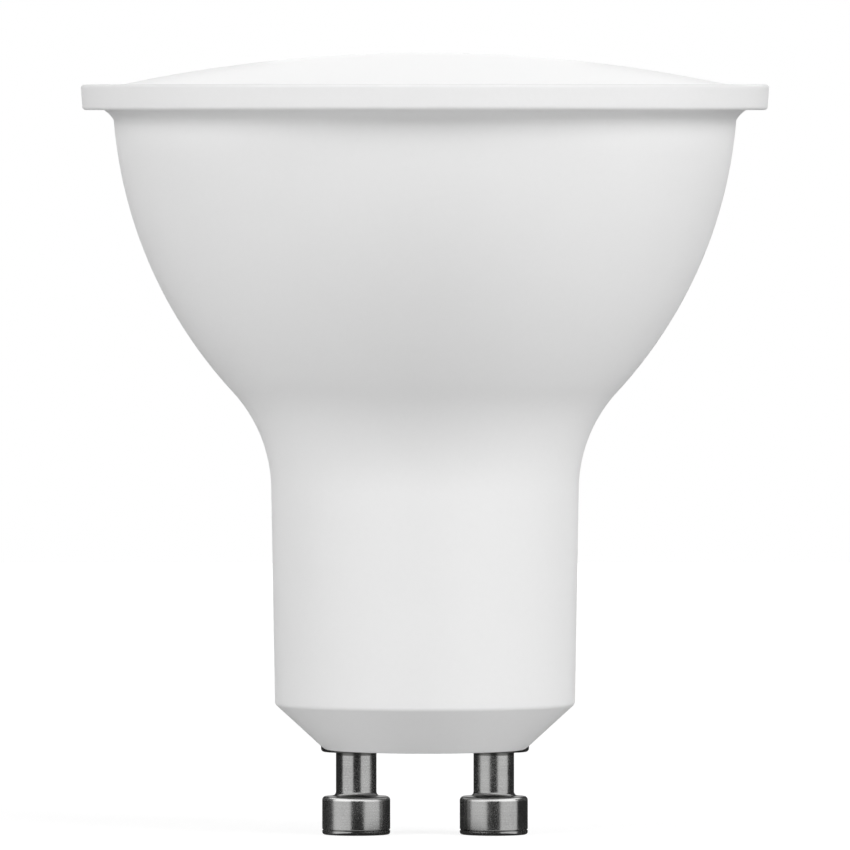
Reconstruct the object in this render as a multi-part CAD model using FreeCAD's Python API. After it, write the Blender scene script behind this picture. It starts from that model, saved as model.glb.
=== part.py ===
import FreeCAD, Part
import math
import os

# A mains spotlight bulb: two turned pins in a conical base, a moulded bell and an opal front cover.
# Millimetres and degrees. The origin is the middle of the base's flat seat, between the pins.
# +Z points along the lamp to its cover, and the pins lie along X.

# Bell and rim
RIM_TOP = 48.3  # height of the rim's flat front
RIM_R = 25.0
RIM_T = 1.85
RIM_UPPER_EDGE = 0.22
RIM_LOWER_EDGE = 0.28
RIM_FILLET = 0.85  # hollow between the rim and the bell
RIM_OVERHANG = 2.3  # from the rim's edge in to where the bell's curve would meet its front plane
BELL_ARC = 32.9
WAIST_ARC = 10.5
WALL = 1.3

# Neck and base
NECK_R = 10.9  # at the top of the base's cone
NECK_DRAFT = 1.0
CONE_H = 3.3
CONE_EDGE = 0.4
SEAT_R = 7.3
SEAT_EDGE = 0.3
FLOOR_T = 2.2

# Contact pins
PIN_SPACING = 10.0
PIN_REACH = 6.2  # from the seat to the end of the head
PIN_HEAD_R = 2.475
PIN_HEAD_L = 2.8
PIN_HEAD_END_EDGE = 0.25
PIN_HEAD_BACK_EDGE = 0.18
PIN_SHANK_R = 1.475
PIN_SHANK_FILLET = 0.35
COLLAR_R = 2.56
COLLAR_PROUD = 0.12  # how far the collar stands out of the seat
COLLAR_EDGE = 0.25
POCKET_DEPTH = 0.9  # the collar's pocket in the seat
POCKET_GAP = 0.04
SPIGOT_R = 1.7
SPIGOT_GAP = 0.03
FLUTE_COUNT = 12  # grip flutes along the spigot
FLUTE_R = 0.16
PIN_BOSS_R = 3.1
PIN_BOSS_H = 1.0
TUBE_R = 1.2
TUBE_L = 2.6
TUBE_BORE_R = 0.6
TUBE_BORE_DEPTH = 3.4

# Front cover
RIM_LAND = 3.0  # flat ring of the rim outside the cover
COVER_GAP = 0.05
COVER_SEAT_DEPTH = 1.5
COVER_EDGE = 0.2
DOME_RISE = 2.3
DOME_T = 1.5
SKIRT_GAP = 0.15
SKIRT_T = 1.0
SKIRT_L = 1.9
LUG_COUNT = 4
LUG_SPAN = 20.0
LUG_PROUD = 0.4
LUG_H = 0.7
LUG_LIP = 0.23  # flat of a lug above its ramp
LUG_DROP = 0.85  # from the cover's seat to the top of a lug
GROOVE_GAP = 0.12

# Heat sink
SINK_T = 0.9
SINK_GAP = 0.15
SINK_DROP = 4.9  # from the rim's front to the sink's plate
SINK_BEND = 0.6
SINK_H = 15.4
SHELF_COUNT = 6  # ribs in the bell that the sink stands on
SHELF_T = 1.2
SHELF_REACH = 0.4  # how far a rib runs inside the sink's edge
SHELF_H = 4.0

# Light board
PAD_MARGIN = 0.4  # how far the pad stays inside the board's edge
PAD_T = 0.3
LED_BOARD_GAP = 0.36  # between the board's edge and the cover's skirt
LED_BOARD_T = 1.0
OUTER_RING_COUNT = 8
OUTER_RING_MARGIN = 4.7  # from the board's edge to the middles of the outer packages
INNER_RING_COUNT = 4
INNER_RING_R = 7.5
LED_WIDTH = 2.8
LED_LENGTH = 3.5
LED_H = 0.7
LED_NOTCH = 0.5
LED_WELL_R = 1.1
LED_WELL_DEPTH = 0.12

# Screws of the light board
SCREW_SPACING = 22.4
SCREW_R = 1.0
SCREW_L = 4.4
SCREW_HEAD_R = 1.9
SCREW_HEAD_H = 1.2
SCREW_HEAD_EDGE = 0.5
CROSS_WIDTH = 0.5
CROSS_LENGTH = 2.2
CROSS_DEPTH = 0.7
SCREW_BITE_GAP = 0.03
SCREW_HOLE_GAP = 0.2

# Driver board, upright in two rails
DRIVER_FRONT = 2.6  # its component side lies at this y
DRIVER_T = 1.0
DRIVER_FOOT = 5.6
DRIVER_SIDE_GAP = 0.15
DRIVER_TOP_MARGIN = 1.6
RAIL_GAP = 0.1
RAIL_GRIP = 0.8  # how far the board's edge sits in its rails
RAIL_T = 0.9
RAIL_TOP = 18.0
PART_GAP = 0.8  # room between parts that stand above one another on the board
BODY_GAP = 0.2  # room between a part's body and the board
LEAD_R = 0.3
LEAD_BEND = 0.9
LEAD_STUB = 0.6
LEAD_TIP = 0.5  # how far a lead stands out past the board
LEAD_HOLE_GAP = 0.1

# Wired parts
CAPACITOR_R = 4.0
CAPACITOR_L = 12.5
CAPACITOR_EDGE = 0.6
CAPACITOR_GROOVE_R = 0.35
CAPACITOR_GROOVE_AT = 1.8
CAPACITOR_PITCH = 3.5
CHOKE_R = 4.0
CHOKE_L = 10.0
CHOKE_FLANGE_T = 1.2
CHOKE_COIL_R = 3.4
CHOKE_PITCH = 5.0
FILM_WIDTH = 7.2
FILM_DEPTH = 7.0
FILM_T = 4.0
FILM_EDGE = 0.4
FILM_PITCH = 5.0
RESISTOR_R = 1.25
RESISTOR_WAIST_R = 1.1
RESISTOR_CAP_L = 1.2
RESISTOR_EDGE = 0.4
RESISTOR_L = 6.5
RESISTOR_PITCH = 10.0

# Surface-mounted parts
BRIDGE_WIDTH = 3.9
BRIDGE_LENGTH = 4.7
BRIDGE_H = 2.5
BRIDGE_SPAN = 6.8
BRIDGE_LEG_PITCH = 2.54
CHIP_WIDTH = 3.9
CHIP_LENGTH = 4.9
CHIP_H = 1.5
CHIP_SPAN = 6.0
CHIP_LEG_PITCH = 1.27
LEG_WIDTH = 0.4
LEG_T = 0.2
FOOT_L = 0.6

# Wires
PIN_WIRE_R = 0.45
PIN_WIRE_BEND = 1.3
PIN_WIRE_STUB = 0.6
PIN_WIRE_SINK = 2.6  # how deep the wire sits in the pin
LED_WIRE_R = 0.6
LED_CORE_R = 0.25
LED_WIRE_BEND = 1.8
LED_WIRE_PITCH = 1.6
LED_WIRE_STRIP = 1.2
LED_WIRE_REST = 2.6
WIRE_HOLE_GAP = 0.25

# Heights and radii that follow
BELL_R = RIM_R - RIM_OVERHANG
COVER_R = RIM_R - RIM_LAND
RIM_UNDER = RIM_TOP - RIM_T
COVER_SEAT = RIM_TOP - COVER_SEAT_DEPTH
SKIRT_END = COVER_SEAT - SKIRT_L
SINK_TOP = RIM_TOP - SINK_DROP
SINK_END = SINK_TOP - SINK_H
PAD_TOP = SINK_TOP + PAD_T
LED_BOARD_TOP = PAD_TOP + LED_BOARD_T
PIN_BOSS_TOP = FLOOR_T + PIN_BOSS_H
TUBE_TOP = PIN_BOSS_TOP + TUBE_L
DRIVER_BACK = DRIVER_FRONT + DRIVER_T

# The parts on the driver board stand above one another, front and back
PIN_WIRE_Z = TUBE_TOP + PIN_WIRE_STUB + PIN_WIRE_BEND
FILM_Z = PIN_WIRE_Z + PIN_WIRE_R + PART_GAP + FILM_T / 2
RESISTOR_Z = PIN_WIRE_Z + PIN_WIRE_R + PART_GAP + RESISTOR_R
LEAD_ROW_Z = max(FILM_Z + FILM_T / 2, RESISTOR_Z + RESISTOR_R) + PART_GAP + LEAD_R
CAN_FOOT = LEAD_ROW_Z + LEAD_BEND + LEAD_STUB
BRIDGE_Z = LEAD_ROW_Z + LEAD_R + PART_GAP + BRIDGE_LENGTH / 2
CHIP_Z = BRIDGE_Z + BRIDGE_LENGTH / 2 + PART_GAP + CHIP_LENGTH / 2
LED_PAD_Z = CHIP_Z + CHIP_LENGTH / 2 + PART_GAP + LED_WIRE_R
DRIVER_TOP = LED_PAD_Z + DRIVER_TOP_MARGIN
CAPACITOR_X = -(CAPACITOR_R + BODY_GAP)
CHOKE_X = CHOKE_R + BODY_GAP
RESISTOR_Y = DRIVER_BACK + LEAD_TIP + BODY_GAP + RESISTOR_R

# The light board's wires rise behind the driver board and turn over on the light board
LED_WIRE_Y = DRIVER_BACK + BODY_GAP + LED_WIRE_BEND
LED_WIRE_TOP = LED_BOARD_TOP + LED_WIRE_R
WIRE_HOLE_Y = LED_WIRE_Y + (LED_WIRE_BEND - LED_WIRE_R) / 2
WIRE_HOLE_R = math.hypot(LED_WIRE_PITCH / 2 + LED_WIRE_R, (LED_WIRE_BEND + LED_WIRE_R) / 2) + WIRE_HOLE_GAP

ORIGIN = FreeCAD.Vector(0, 0, 0)
Y_AXIS = FreeCAD.Vector(0, 1, 0)
Z_AXIS = FreeCAD.Vector(0, 0, 1)
BEYOND = 5.0  # how far a cutting solid runs past what it cuts


def spot(radius, height):
    """Point of a turned outline."""
    return FreeCAD.Vector(radius, 0, height)


def towards(start, end, distance):
    """Point at a distance from start, on the way to end."""
    way = end - start
    return start + way * (distance / way.Length)


def straight(start, end):
    """Straight edge between two points."""
    return Part.LineSegment(start, end).toShape()


def bow(centre, start, end):
    """Arc from start to end about a centre, the short way round."""
    middle = towards(centre, (start + end) * 0.5, (start - centre).Length)
    return Part.Arc(start, middle, end).toShape()


def rounded(corners):
    """Edges of a chain of straight runs. Each corner is a point and its radius, 0 where it is sharp."""
    edges = []
    last = corners[0][0]
    for (before, _), (point, radius), (after, _) in zip(corners, corners[1:], corners[2:]):
        if radius == 0:
            edges.append(straight(last, point))
            last = point
            continue
        half_turn = (before - point).getAngle(after - point) / 2
        start = towards(point, before, radius / math.tan(half_turn))
        end = towards(point, after, radius / math.tan(half_turn))
        centre = towards(point, (start + end) * 0.5, radius / math.sin(half_turn))
        edges += [straight(last, start), bow(centre, start, end)]
        last = end
    edges.append(straight(last, corners[-1][0]))
    return edges


def turned(edges, angle=360):
    """Solid turned about Z from a closed outline."""
    return Part.Face(Part.Wire(Part.sortEdges(edges)[0])).revolve(ORIGIN, Z_AXIS, angle)


def block(x, y, z):
    """Box between two values along each axis, given as pairs."""
    low = FreeCAD.Vector(x[0], y[0], z[0])
    return Part.makeBox(x[1] - x[0], y[1] - y[0], z[1] - z[0], low)


def rod(radius, start, end):
    """Cylinder between two points."""
    return Part.makeCylinder(radius, (end - start).Length, start, end - start)


def moved(shape, x=0.0, y=0.0, z=0.0):
    """Copy of a shape moved along the axes."""
    copy = shape.copy()
    copy.translate(FreeCAD.Vector(x, y, z))
    return copy


def swung(shape, angle):
    """Copy of a shape turned about Z."""
    copy = shape.copy()
    copy.rotate(ORIGIN, Z_AXIS, angle)
    return copy


def merged(shapes):
    """One solid from touching shapes."""
    return shapes[0].fuse(shapes[1:]).removeSplitter()


def bent_wire(radius, route, bend):
    """Round wire along straight runs between points, with an arc at each corner."""
    corners = [(point, bend) for point in route]
    corners[0] = (route[0], 0)
    corners[-1] = (route[-1], 0)
    section = Part.Wire(Part.Circle(route[0], route[1] - route[0], radius).toShape())
    return Part.Wire(rounded(corners)).makePipeShell([section], True, False)


class Shell:
    """The outline of bell, waist and neck, moved inwards by a thickness."""

    def __init__(self, inset):
        """Find the arcs and their joins for one thickness."""
        self.slope = math.tan(math.radians(NECK_DRAFT))
        square = math.hypot(1, self.slope)
        self.inset = inset
        self.neck_r = NECK_R - inset * square
        self.bell_radius = BELL_ARC - inset
        self.waist_radius = WAIST_ARC + inset
        self.bell_centre = spot(BELL_R - BELL_ARC, RIM_TOP)
        # The waist arc touches both the neck's line and the bell's arc
        start = NECK_R - self.slope * CONE_H + WAIST_ARC * square - self.bell_centre.x
        first = self.slope * start - RIM_TOP
        rest = start ** 2 + RIM_TOP ** 2 - (BELL_ARC + WAIST_ARC) ** 2
        height = (-first - math.sqrt(first ** 2 - square ** 2 * rest)) / square ** 2
        self.waist_centre = spot(self.bell_centre.x + start + self.slope * height, height)
        self.bell_start = towards(self.bell_centre, self.waist_centre, self.bell_radius).z
        self.waist_start = height + self.waist_radius * self.slope / square

    def radius(self, height):
        """Radius of the outline at a height."""
        if height >= self.bell_start:
            return self.bell_centre.x + math.sqrt(self.bell_radius ** 2 - (height - RIM_TOP) ** 2)
        if height >= self.waist_start:
            drop = height - self.waist_centre.z
            return self.waist_centre.x - math.sqrt(self.waist_radius ** 2 - drop ** 2)
        return self.neck_r + self.slope * (height - CONE_H)

    def at(self, height):
        """Point of the outline at a height."""
        return spot(self.radius(height), height)

    def path(self, low, high):
        """Edges of the outline between two heights."""
        joins = [join for join in (self.waist_start, self.bell_start) if low < join < high]
        marks = [low] + joins + [high]
        edges = []
        for start, end in zip(marks, marks[1:]):
            middle = (start + end) / 2
            if end <= self.waist_start:
                edges.append(straight(self.at(start), self.at(end)))
            else:
                edges.append(Part.Arc(self.at(start), self.at(middle), self.at(end)).toShape())
        return edges

    def under_rim(self):
        """Centre of the hollow between bell and rim."""
        height = RIM_UNDER - RIM_FILLET
        reach = math.sqrt((self.bell_radius + RIM_FILLET) ** 2 - (height - RIM_TOP) ** 2)
        return spot(self.bell_centre.x + reach, height)


def inner_cone():
    """Points where the base's inner cone meets the floor and the inner wall of the neck."""
    lean = (NECK_R - SEAT_R) / CONE_H
    foot = SEAT_R - WALL * math.hypot(1, lean)
    inner = Shell(WALL)
    top = (inner.neck_r - inner.slope * CONE_H - foot) / (lean - inner.slope)
    return spot(foot + lean * FLOOR_T, FLOOR_T), inner.at(top)


def cavity():
    """The room inside the housing, up to the cover's seat."""
    inner = Shell(WALL)
    corner, neck = inner_cone()
    edges = inner.path(neck.z, COVER_SEAT)
    edges += [straight(neck, corner), straight(corner, spot(0, FLOOR_T))]
    edges += [straight(spot(0, FLOOR_T), spot(0, COVER_SEAT))]
    edges += [straight(spot(0, COVER_SEAT), inner.at(COVER_SEAT))]
    return turned(edges)


def housing_body():
    """Bell, rim, neck and base before their inside is cut."""
    outer = Shell(0)
    hollow = outer.under_rim()
    on_bell = towards(outer.bell_centre, hollow, outer.bell_radius)
    on_rim = spot(hollow.x, RIM_UNDER)
    neck = outer.at(outer.waist_start)
    edges = rounded([
        (spot(0, 0), 0),
        (spot(SEAT_R, 0), SEAT_EDGE),
        (spot(NECK_R, CONE_H), CONE_EDGE),
        (neck, 0),
    ])
    edges += outer.path(neck.z, on_bell.z)
    edges += [bow(hollow, on_bell, on_rim)]
    seat_r = COVER_R + COVER_GAP
    edges += rounded([
        (on_rim, 0),
        (spot(RIM_R, RIM_UNDER), RIM_LOWER_EDGE),
        (spot(RIM_R, RIM_TOP), RIM_UPPER_EDGE),
        (spot(seat_r, RIM_TOP), 0),
        (spot(seat_r, COVER_SEAT), 0),
        (spot(0, COVER_SEAT), 0),
        (spot(0, 0), 0),
    ])
    return turned(edges)


def driver_half_width():
    """Half the driver board's width: it nearly fills the neck at the foot of the cone."""
    wall = Shell(WALL).radius(CONE_H)
    return math.sqrt(wall ** 2 - (DRIVER_BACK + RAIL_GAP) ** 2) - DRIVER_SIDE_GAP


def rails(room):
    """The two slotted ribs that hold the driver board by its edges."""
    half = driver_half_width()
    y = (DRIVER_FRONT - RAIL_GAP - RAIL_T, DRIVER_BACK + RAIL_GAP + RAIL_T)
    slot_y = (DRIVER_FRONT - RAIL_GAP, DRIVER_BACK + RAIL_GAP)
    slot_x = half + DRIVER_SIDE_GAP
    ribs = []
    for side in (-1, 1):
        x = sorted((side * (half - RAIL_GRIP), side * (NECK_R + BEYOND)))
        ribs.append(block(x, y, (0, RAIL_TOP)).common(room))
    slot = block((-slot_x, slot_x), slot_y, (DRIVER_FOOT, RAIL_TOP + BEYOND))
    return [rib.cut(slot) for rib in ribs]


def shelf_ribs(room):
    """Ribs round the bell that the sink's edge stands on."""
    inside = Shell(WALL + SINK_GAP + SINK_T).radius(SINK_END) - SHELF_REACH
    outside = Shell(WALL).radius(SINK_END) + BEYOND
    rib = block((inside, outside), (-SHELF_T / 2, SHELF_T / 2), (SINK_END - SHELF_H, SINK_END))
    turns = [360 * (number + 0.5) / SHELF_COUNT for number in range(SHELF_COUNT)]
    return [swung(rib, turn).common(room) for turn in turns]


def pin_bosses():
    """Bosses on the floor round the pins."""
    boss = rod(PIN_BOSS_R, spot(0, FLOOR_T / 2), spot(0, PIN_BOSS_TOP))
    return [moved(boss, x=side * PIN_SPACING / 2) for side in (-1, 1)]


def snap_groove():
    """Ring cut into the bell's inner wall for the cover's lugs."""
    low = COVER_SEAT - LUG_DROP - LUG_H - GROOVE_GAP
    high = COVER_SEAT - LUG_DROP + GROOVE_GAP
    depth = skirt_radius() + LUG_PROUD + GROOVE_GAP
    ring = rod(depth, spot(0, low), spot(0, high))
    return ring.cut(rod(depth - LUG_PROUD - SKIRT_T, spot(0, low), spot(0, high)))


def housing():
    """The moulded bell, rim, neck and base, with everything that is moulded inside them."""
    room = cavity()
    body = housing_body().cut(room)
    body = body.fuse(rails(room) + shelf_ribs(room) + [boss.common(room) for boss in pin_bosses()])
    pocket = rod(COLLAR_R + POCKET_GAP, spot(0, -BEYOND), spot(0, POCKET_DEPTH))
    bore = rod(SPIGOT_R + SPIGOT_GAP, spot(0, 0), spot(0, PIN_BOSS_TOP + BEYOND))
    cuts = [snap_groove()]
    for side in (-1, 1):
        cuts += [moved(pocket, x=side * PIN_SPACING / 2), moved(bore, x=side * PIN_SPACING / 2)]
    return body.cut(cuts).removeSplitter()


def skirt_radius():
    """Outer radius of the cover's skirt."""
    return Shell(WALL).radius(SKIRT_END) - SKIRT_GAP


def dome_radius():
    """Radius of the sphere that the cover's face is part of."""
    return (COVER_R ** 2 + DOME_RISE ** 2) / (2 * DOME_RISE)


def diffuser_cover():
    """Domed opal cover with a skirt and snap lugs."""
    top = RIM_TOP + DOME_RISE
    sphere = spot(0, top - dome_radius())
    inner_r = dome_radius() - DOME_T
    skirt_r = skirt_radius()
    mouth_r = skirt_r - SKIRT_T
    mouth = spot(mouth_r, sphere.z + math.sqrt(inner_r ** 2 - mouth_r ** 2))
    edge_r = COVER_R - COVER_EDGE
    edge = spot(edge_r, sphere.z + math.sqrt((dome_radius() - COVER_EDGE) ** 2 - edge_r ** 2))
    on_dome = towards(sphere, edge, dome_radius())
    edges = [
        bow(sphere, spot(0, top), on_dome),
        bow(edge, on_dome, spot(COVER_R, edge.z)),
        straight(spot(COVER_R, edge.z), spot(COVER_R, COVER_SEAT)),
        straight(spot(COVER_R, COVER_SEAT), spot(skirt_r, COVER_SEAT)),
        straight(spot(skirt_r, COVER_SEAT), spot(skirt_r, SKIRT_END)),
        straight(spot(skirt_r, SKIRT_END), spot(mouth_r, SKIRT_END)),
        straight(spot(mouth_r, SKIRT_END), mouth),
        bow(sphere, mouth, spot(0, top - DOME_T)),
        straight(spot(0, top - DOME_T), spot(0, top)),
    ]
    cover = turned(edges)
    root = skirt_r - SKIRT_T / 2
    high = COVER_SEAT - LUG_DROP
    lug = turned(rounded([
        (spot(root, high), 0),
        (spot(skirt_r + LUG_PROUD, high), 0),
        (spot(skirt_r + LUG_PROUD, high - LUG_LIP), 0),
        (spot(skirt_r, high - LUG_H), 0),
        (spot(root, high - LUG_H), 0),
        (spot(root, high), 0),
    ]), LUG_SPAN)
    turns = [360 * number / LUG_COUNT - LUG_SPAN / 2 for number in range(LUG_COUNT)]
    return merged([cover] + [swung(lug, turn) for turn in turns])


def screw_places():
    """Where the light board's screws stand."""
    return [(side * SCREW_SPACING / 2, 0) for side in (-1, 1)]


def plate_holes(low, high, screw_r):
    """Drills for the light board's screws and wires through a plate."""
    start, end = spot(0, low - BEYOND), spot(0, high + BEYOND)
    drills = [moved(rod(screw_r, start, end), x=x, y=y) for x, y in screw_places()]
    return drills + [moved(rod(WIRE_HOLE_R, start, end), y=WIRE_HOLE_Y)]


def heat_sink():
    """Drawn cup with its plate up, which follows the bell's inner wall."""
    outer, inner = Shell(WALL + SINK_GAP), Shell(WALL + SINK_GAP + SINK_T)
    bend = SINK_BEND + SINK_T
    height = SINK_TOP - bend
    reach = math.sqrt((outer.bell_radius - bend) ** 2 - (height - RIM_TOP) ** 2)
    centre = spot(outer.bell_centre.x + reach, height)
    on_outer = towards(outer.bell_centre, centre, outer.bell_radius)
    on_inner = towards(inner.bell_centre, centre, inner.bell_radius)
    above, below = spot(centre.x, SINK_TOP), spot(centre.x, SINK_TOP - SINK_T)
    edges = outer.path(SINK_END, on_outer.z) + inner.path(SINK_END, on_inner.z)
    edges += [
        straight(outer.at(SINK_END), inner.at(SINK_END)),
        bow(centre, on_outer, above),
        bow(centre, on_inner, below),
        straight(above, spot(0, SINK_TOP)),
        straight(below, spot(0, SINK_TOP - SINK_T)),
        straight(spot(0, SINK_TOP), spot(0, SINK_TOP - SINK_T)),
    ]
    return turned(edges).cut(plate_holes(SINK_TOP - SINK_T, SINK_TOP, SCREW_R + SCREW_BITE_GAP))


def led_board_radius():
    """Radius of the light board, which lies inside the cover's skirt."""
    return skirt_radius() - SKIRT_T - LED_BOARD_GAP


def thermal_pad():
    """Thin soft disc under the light board."""
    disc = rod(led_board_radius() - PAD_MARGIN, spot(0, SINK_TOP), spot(0, PAD_TOP))
    return disc.cut(plate_holes(SINK_TOP, PAD_TOP, SCREW_R + SCREW_HOLE_GAP))


def led_board():
    """Round board that carries the light packages."""
    disc = rod(led_board_radius(), spot(0, PAD_TOP), spot(0, LED_BOARD_TOP))
    return disc.cut(plate_holes(PAD_TOP, LED_BOARD_TOP, SCREW_R + SCREW_HOLE_GAP))


def led_package():
    """One light package, flat on the board, with its notched corner and its round well."""
    half_w, half_l = LED_WIDTH / 2, LED_LENGTH / 2
    top = LED_BOARD_TOP + LED_H
    corners = [
        (-half_w, -half_l),
        (half_w, -half_l),
        (half_w, half_l - LED_NOTCH),
        (half_w - LED_NOTCH, half_l),
        (-half_w, half_l),
        (-half_w, -half_l),
    ]
    outline = Part.makePolygon([FreeCAD.Vector(x, y, LED_BOARD_TOP) for x, y in corners])
    body = Part.Face(outline).extrude(Z_AXIS * LED_H)
    return body.cut(rod(LED_WELL_R, spot(0, top - LED_WELL_DEPTH), spot(0, top + BEYOND)))


def led_packages():
    """All light packages, on an outer and an inner ring."""
    packages = []
    outer_r = led_board_radius() - OUTER_RING_MARGIN
    for count, radius in ((OUTER_RING_COUNT, outer_r), (INNER_RING_COUNT, INNER_RING_R)):
        for number in range(count):
            packages.append(swung(moved(led_package(), x=radius), 360 * (number + 0.5) / count))
    return packages


def board_screw():
    """Pan-headed screw with a cross recess, its thread left plain."""
    top = LED_BOARD_TOP + SCREW_HEAD_H
    end = LED_BOARD_TOP - SCREW_L
    screw = turned(rounded([
        (spot(0, top), 0),
        (spot(SCREW_HEAD_R, top), SCREW_HEAD_EDGE),
        (spot(SCREW_HEAD_R, LED_BOARD_TOP), 0),
        (spot(SCREW_R, LED_BOARD_TOP), 0),
        (spot(SCREW_R, end + SCREW_R), 0),
        (spot(0, end), 0),
        (spot(0, top), 0),
    ]))
    z = (top - CROSS_DEPTH, top + BEYOND)
    long, short = (-CROSS_LENGTH / 2, CROSS_LENGTH / 2), (-CROSS_WIDTH / 2, CROSS_WIDTH / 2)
    return screw.cut([block(long, short, z), block(short, long, z)])


def board_screws():
    """The two screws of the light board."""
    return Part.makeCompound([moved(board_screw(), x=x, y=y) for x, y in screw_places()])


def contact_pin():
    """Turned pin about Z: head, shank, collar, fluted spigot and hollow wire end."""
    bore_end = TUBE_TOP - TUBE_BORE_DEPTH
    pin = turned(rounded([
        (spot(0, -PIN_REACH), 0),
        (spot(PIN_HEAD_R, -PIN_REACH), PIN_HEAD_END_EDGE),
        (spot(PIN_HEAD_R, PIN_HEAD_L - PIN_REACH), PIN_HEAD_BACK_EDGE),
        (spot(PIN_SHANK_R, PIN_HEAD_L - PIN_REACH), PIN_SHANK_FILLET),
        (spot(PIN_SHANK_R, -COLLAR_PROUD), 0),
        (spot(COLLAR_R, -COLLAR_PROUD), COLLAR_EDGE),
        (spot(COLLAR_R, POCKET_DEPTH), 0),
        (spot(SPIGOT_R, POCKET_DEPTH), 0),
        (spot(SPIGOT_R, PIN_BOSS_TOP), 0),
        (spot(TUBE_R, PIN_BOSS_TOP), 0),
        (spot(TUBE_R, TUBE_TOP), 0),
        (spot(TUBE_BORE_R, TUBE_TOP), 0),
        (spot(TUBE_BORE_R, bore_end), 0),
        (spot(0, bore_end), 0),
        (spot(0, -PIN_REACH), 0),
    ]))
    flute = rod(FLUTE_R, spot(SPIGOT_R, POCKET_DEPTH), spot(SPIGOT_R, PIN_BOSS_TOP))
    return pin.cut([swung(flute, 360 * number / FLUTE_COUNT) for number in range(FLUTE_COUNT)])


def pin_wire():
    """Bare wire from the pin's hollow end, bent into the driver board."""
    route = [
        FreeCAD.Vector(0, 0, TUBE_TOP - PIN_WIRE_SINK),
        FreeCAD.Vector(0, 0, PIN_WIRE_Z),
        FreeCAD.Vector(0, DRIVER_BACK + LEAD_TIP, PIN_WIRE_Z),
    ]
    return bent_wire(PIN_WIRE_R, route, PIN_WIRE_BEND)


def led_wire():
    """Insulated wire from the driver board up to the light board, bare at both ends."""
    turn_end = LED_WIRE_Y + LED_WIRE_BEND + LED_WIRE_REST
    route = [
        FreeCAD.Vector(0, DRIVER_BACK, LED_PAD_Z),
        FreeCAD.Vector(0, LED_WIRE_Y, LED_PAD_Z),
        FreeCAD.Vector(0, LED_WIRE_Y, LED_WIRE_TOP),
        FreeCAD.Vector(0, turn_end, LED_WIRE_TOP),
    ]
    cover = bent_wire(LED_WIRE_R, route, LED_WIRE_BEND)
    foot = FreeCAD.Vector(0, DRIVER_FRONT - LEAD_TIP, LED_PAD_Z)
    lower_core = rod(LED_CORE_R, foot, FreeCAD.Vector(0, DRIVER_BACK + BODY_GAP, LED_PAD_Z))
    end = FreeCAD.Vector(0, turn_end + LED_WIRE_STRIP, LED_WIRE_TOP)
    upper_core = rod(LED_CORE_R, FreeCAD.Vector(0, turn_end - BODY_GAP, LED_WIRE_TOP), end)
    return merged([cover, lower_core, upper_core])


def lead_holes():
    """Where leads and wires of which radius pass through the driver board, as x, z and radius."""
    holes = [(side * PIN_SPACING / 2, PIN_WIRE_Z, PIN_WIRE_R) for side in (-1, 1)]
    holes += [(side * LED_WIRE_PITCH / 2, LED_PAD_Z, LED_CORE_R) for side in (-1, 1)]
    for centre, pitch, height in (
        (0, FILM_PITCH, FILM_Z),
        (0, RESISTOR_PITCH, RESISTOR_Z),
        (CAPACITOR_X, CAPACITOR_PITCH, LEAD_ROW_Z),
        (CHOKE_X, CHOKE_PITCH, LEAD_ROW_Z),
    ):
        holes += [(centre + side * pitch / 2, height, LEAD_R) for side in (-1, 1)]
    return holes


def driver_board():
    """Upright board with the drilled holes of everything soldered to it."""
    half = driver_half_width()
    board = block((-half, half), (DRIVER_FRONT, DRIVER_BACK), (DRIVER_FOOT, DRIVER_TOP))
    drills = []
    for x, z, radius in lead_holes():
        start = FreeCAD.Vector(x, DRIVER_FRONT - BEYOND, z)
        drills.append(rod(radius + LEAD_HOLE_GAP, start, FreeCAD.Vector(x, DRIVER_BACK + BEYOND, z)))
    return board.cut(drills)


def can_leads(radius, pitch):
    """Two leads under a can whose axis is Z, bent into the driver board."""
    axis_y = DRIVER_FRONT - BODY_GAP - radius
    route = [
        FreeCAD.Vector(0, axis_y, CAN_FOOT + LEAD_STUB),
        FreeCAD.Vector(0, axis_y, LEAD_ROW_Z),
        FreeCAD.Vector(0, DRIVER_BACK + LEAD_TIP, LEAD_ROW_Z),
    ]
    lead = bent_wire(LEAD_R, route, LEAD_BEND)
    return [moved(lead, x=side * pitch / 2) for side in (-1, 1)]


def smoothing_capacitor():
    """Aluminium can with its rolled groove and two bent leads."""
    top = CAN_FOOT + CAPACITOR_L
    groove = CAN_FOOT + CAPACITOR_GROOVE_AT
    can = turned(rounded([
        (spot(0, CAN_FOOT), 0),
        (spot(CAPACITOR_R, CAN_FOOT), CAPACITOR_EDGE),
        (spot(CAPACITOR_R, top), CAPACITOR_EDGE),
        (spot(0, top), 0),
        (spot(0, CAN_FOOT), 0),
    ]))
    roll = Part.makeTorus(CAPACITOR_R, CAPACITOR_GROOVE_R, spot(0, groove), Z_AXIS)
    can = moved(can.cut(roll), y=DRIVER_FRONT - BODY_GAP - CAPACITOR_R)
    return moved(merged([can] + can_leads(CAPACITOR_R, CAPACITOR_PITCH)), x=CAPACITOR_X)


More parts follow.
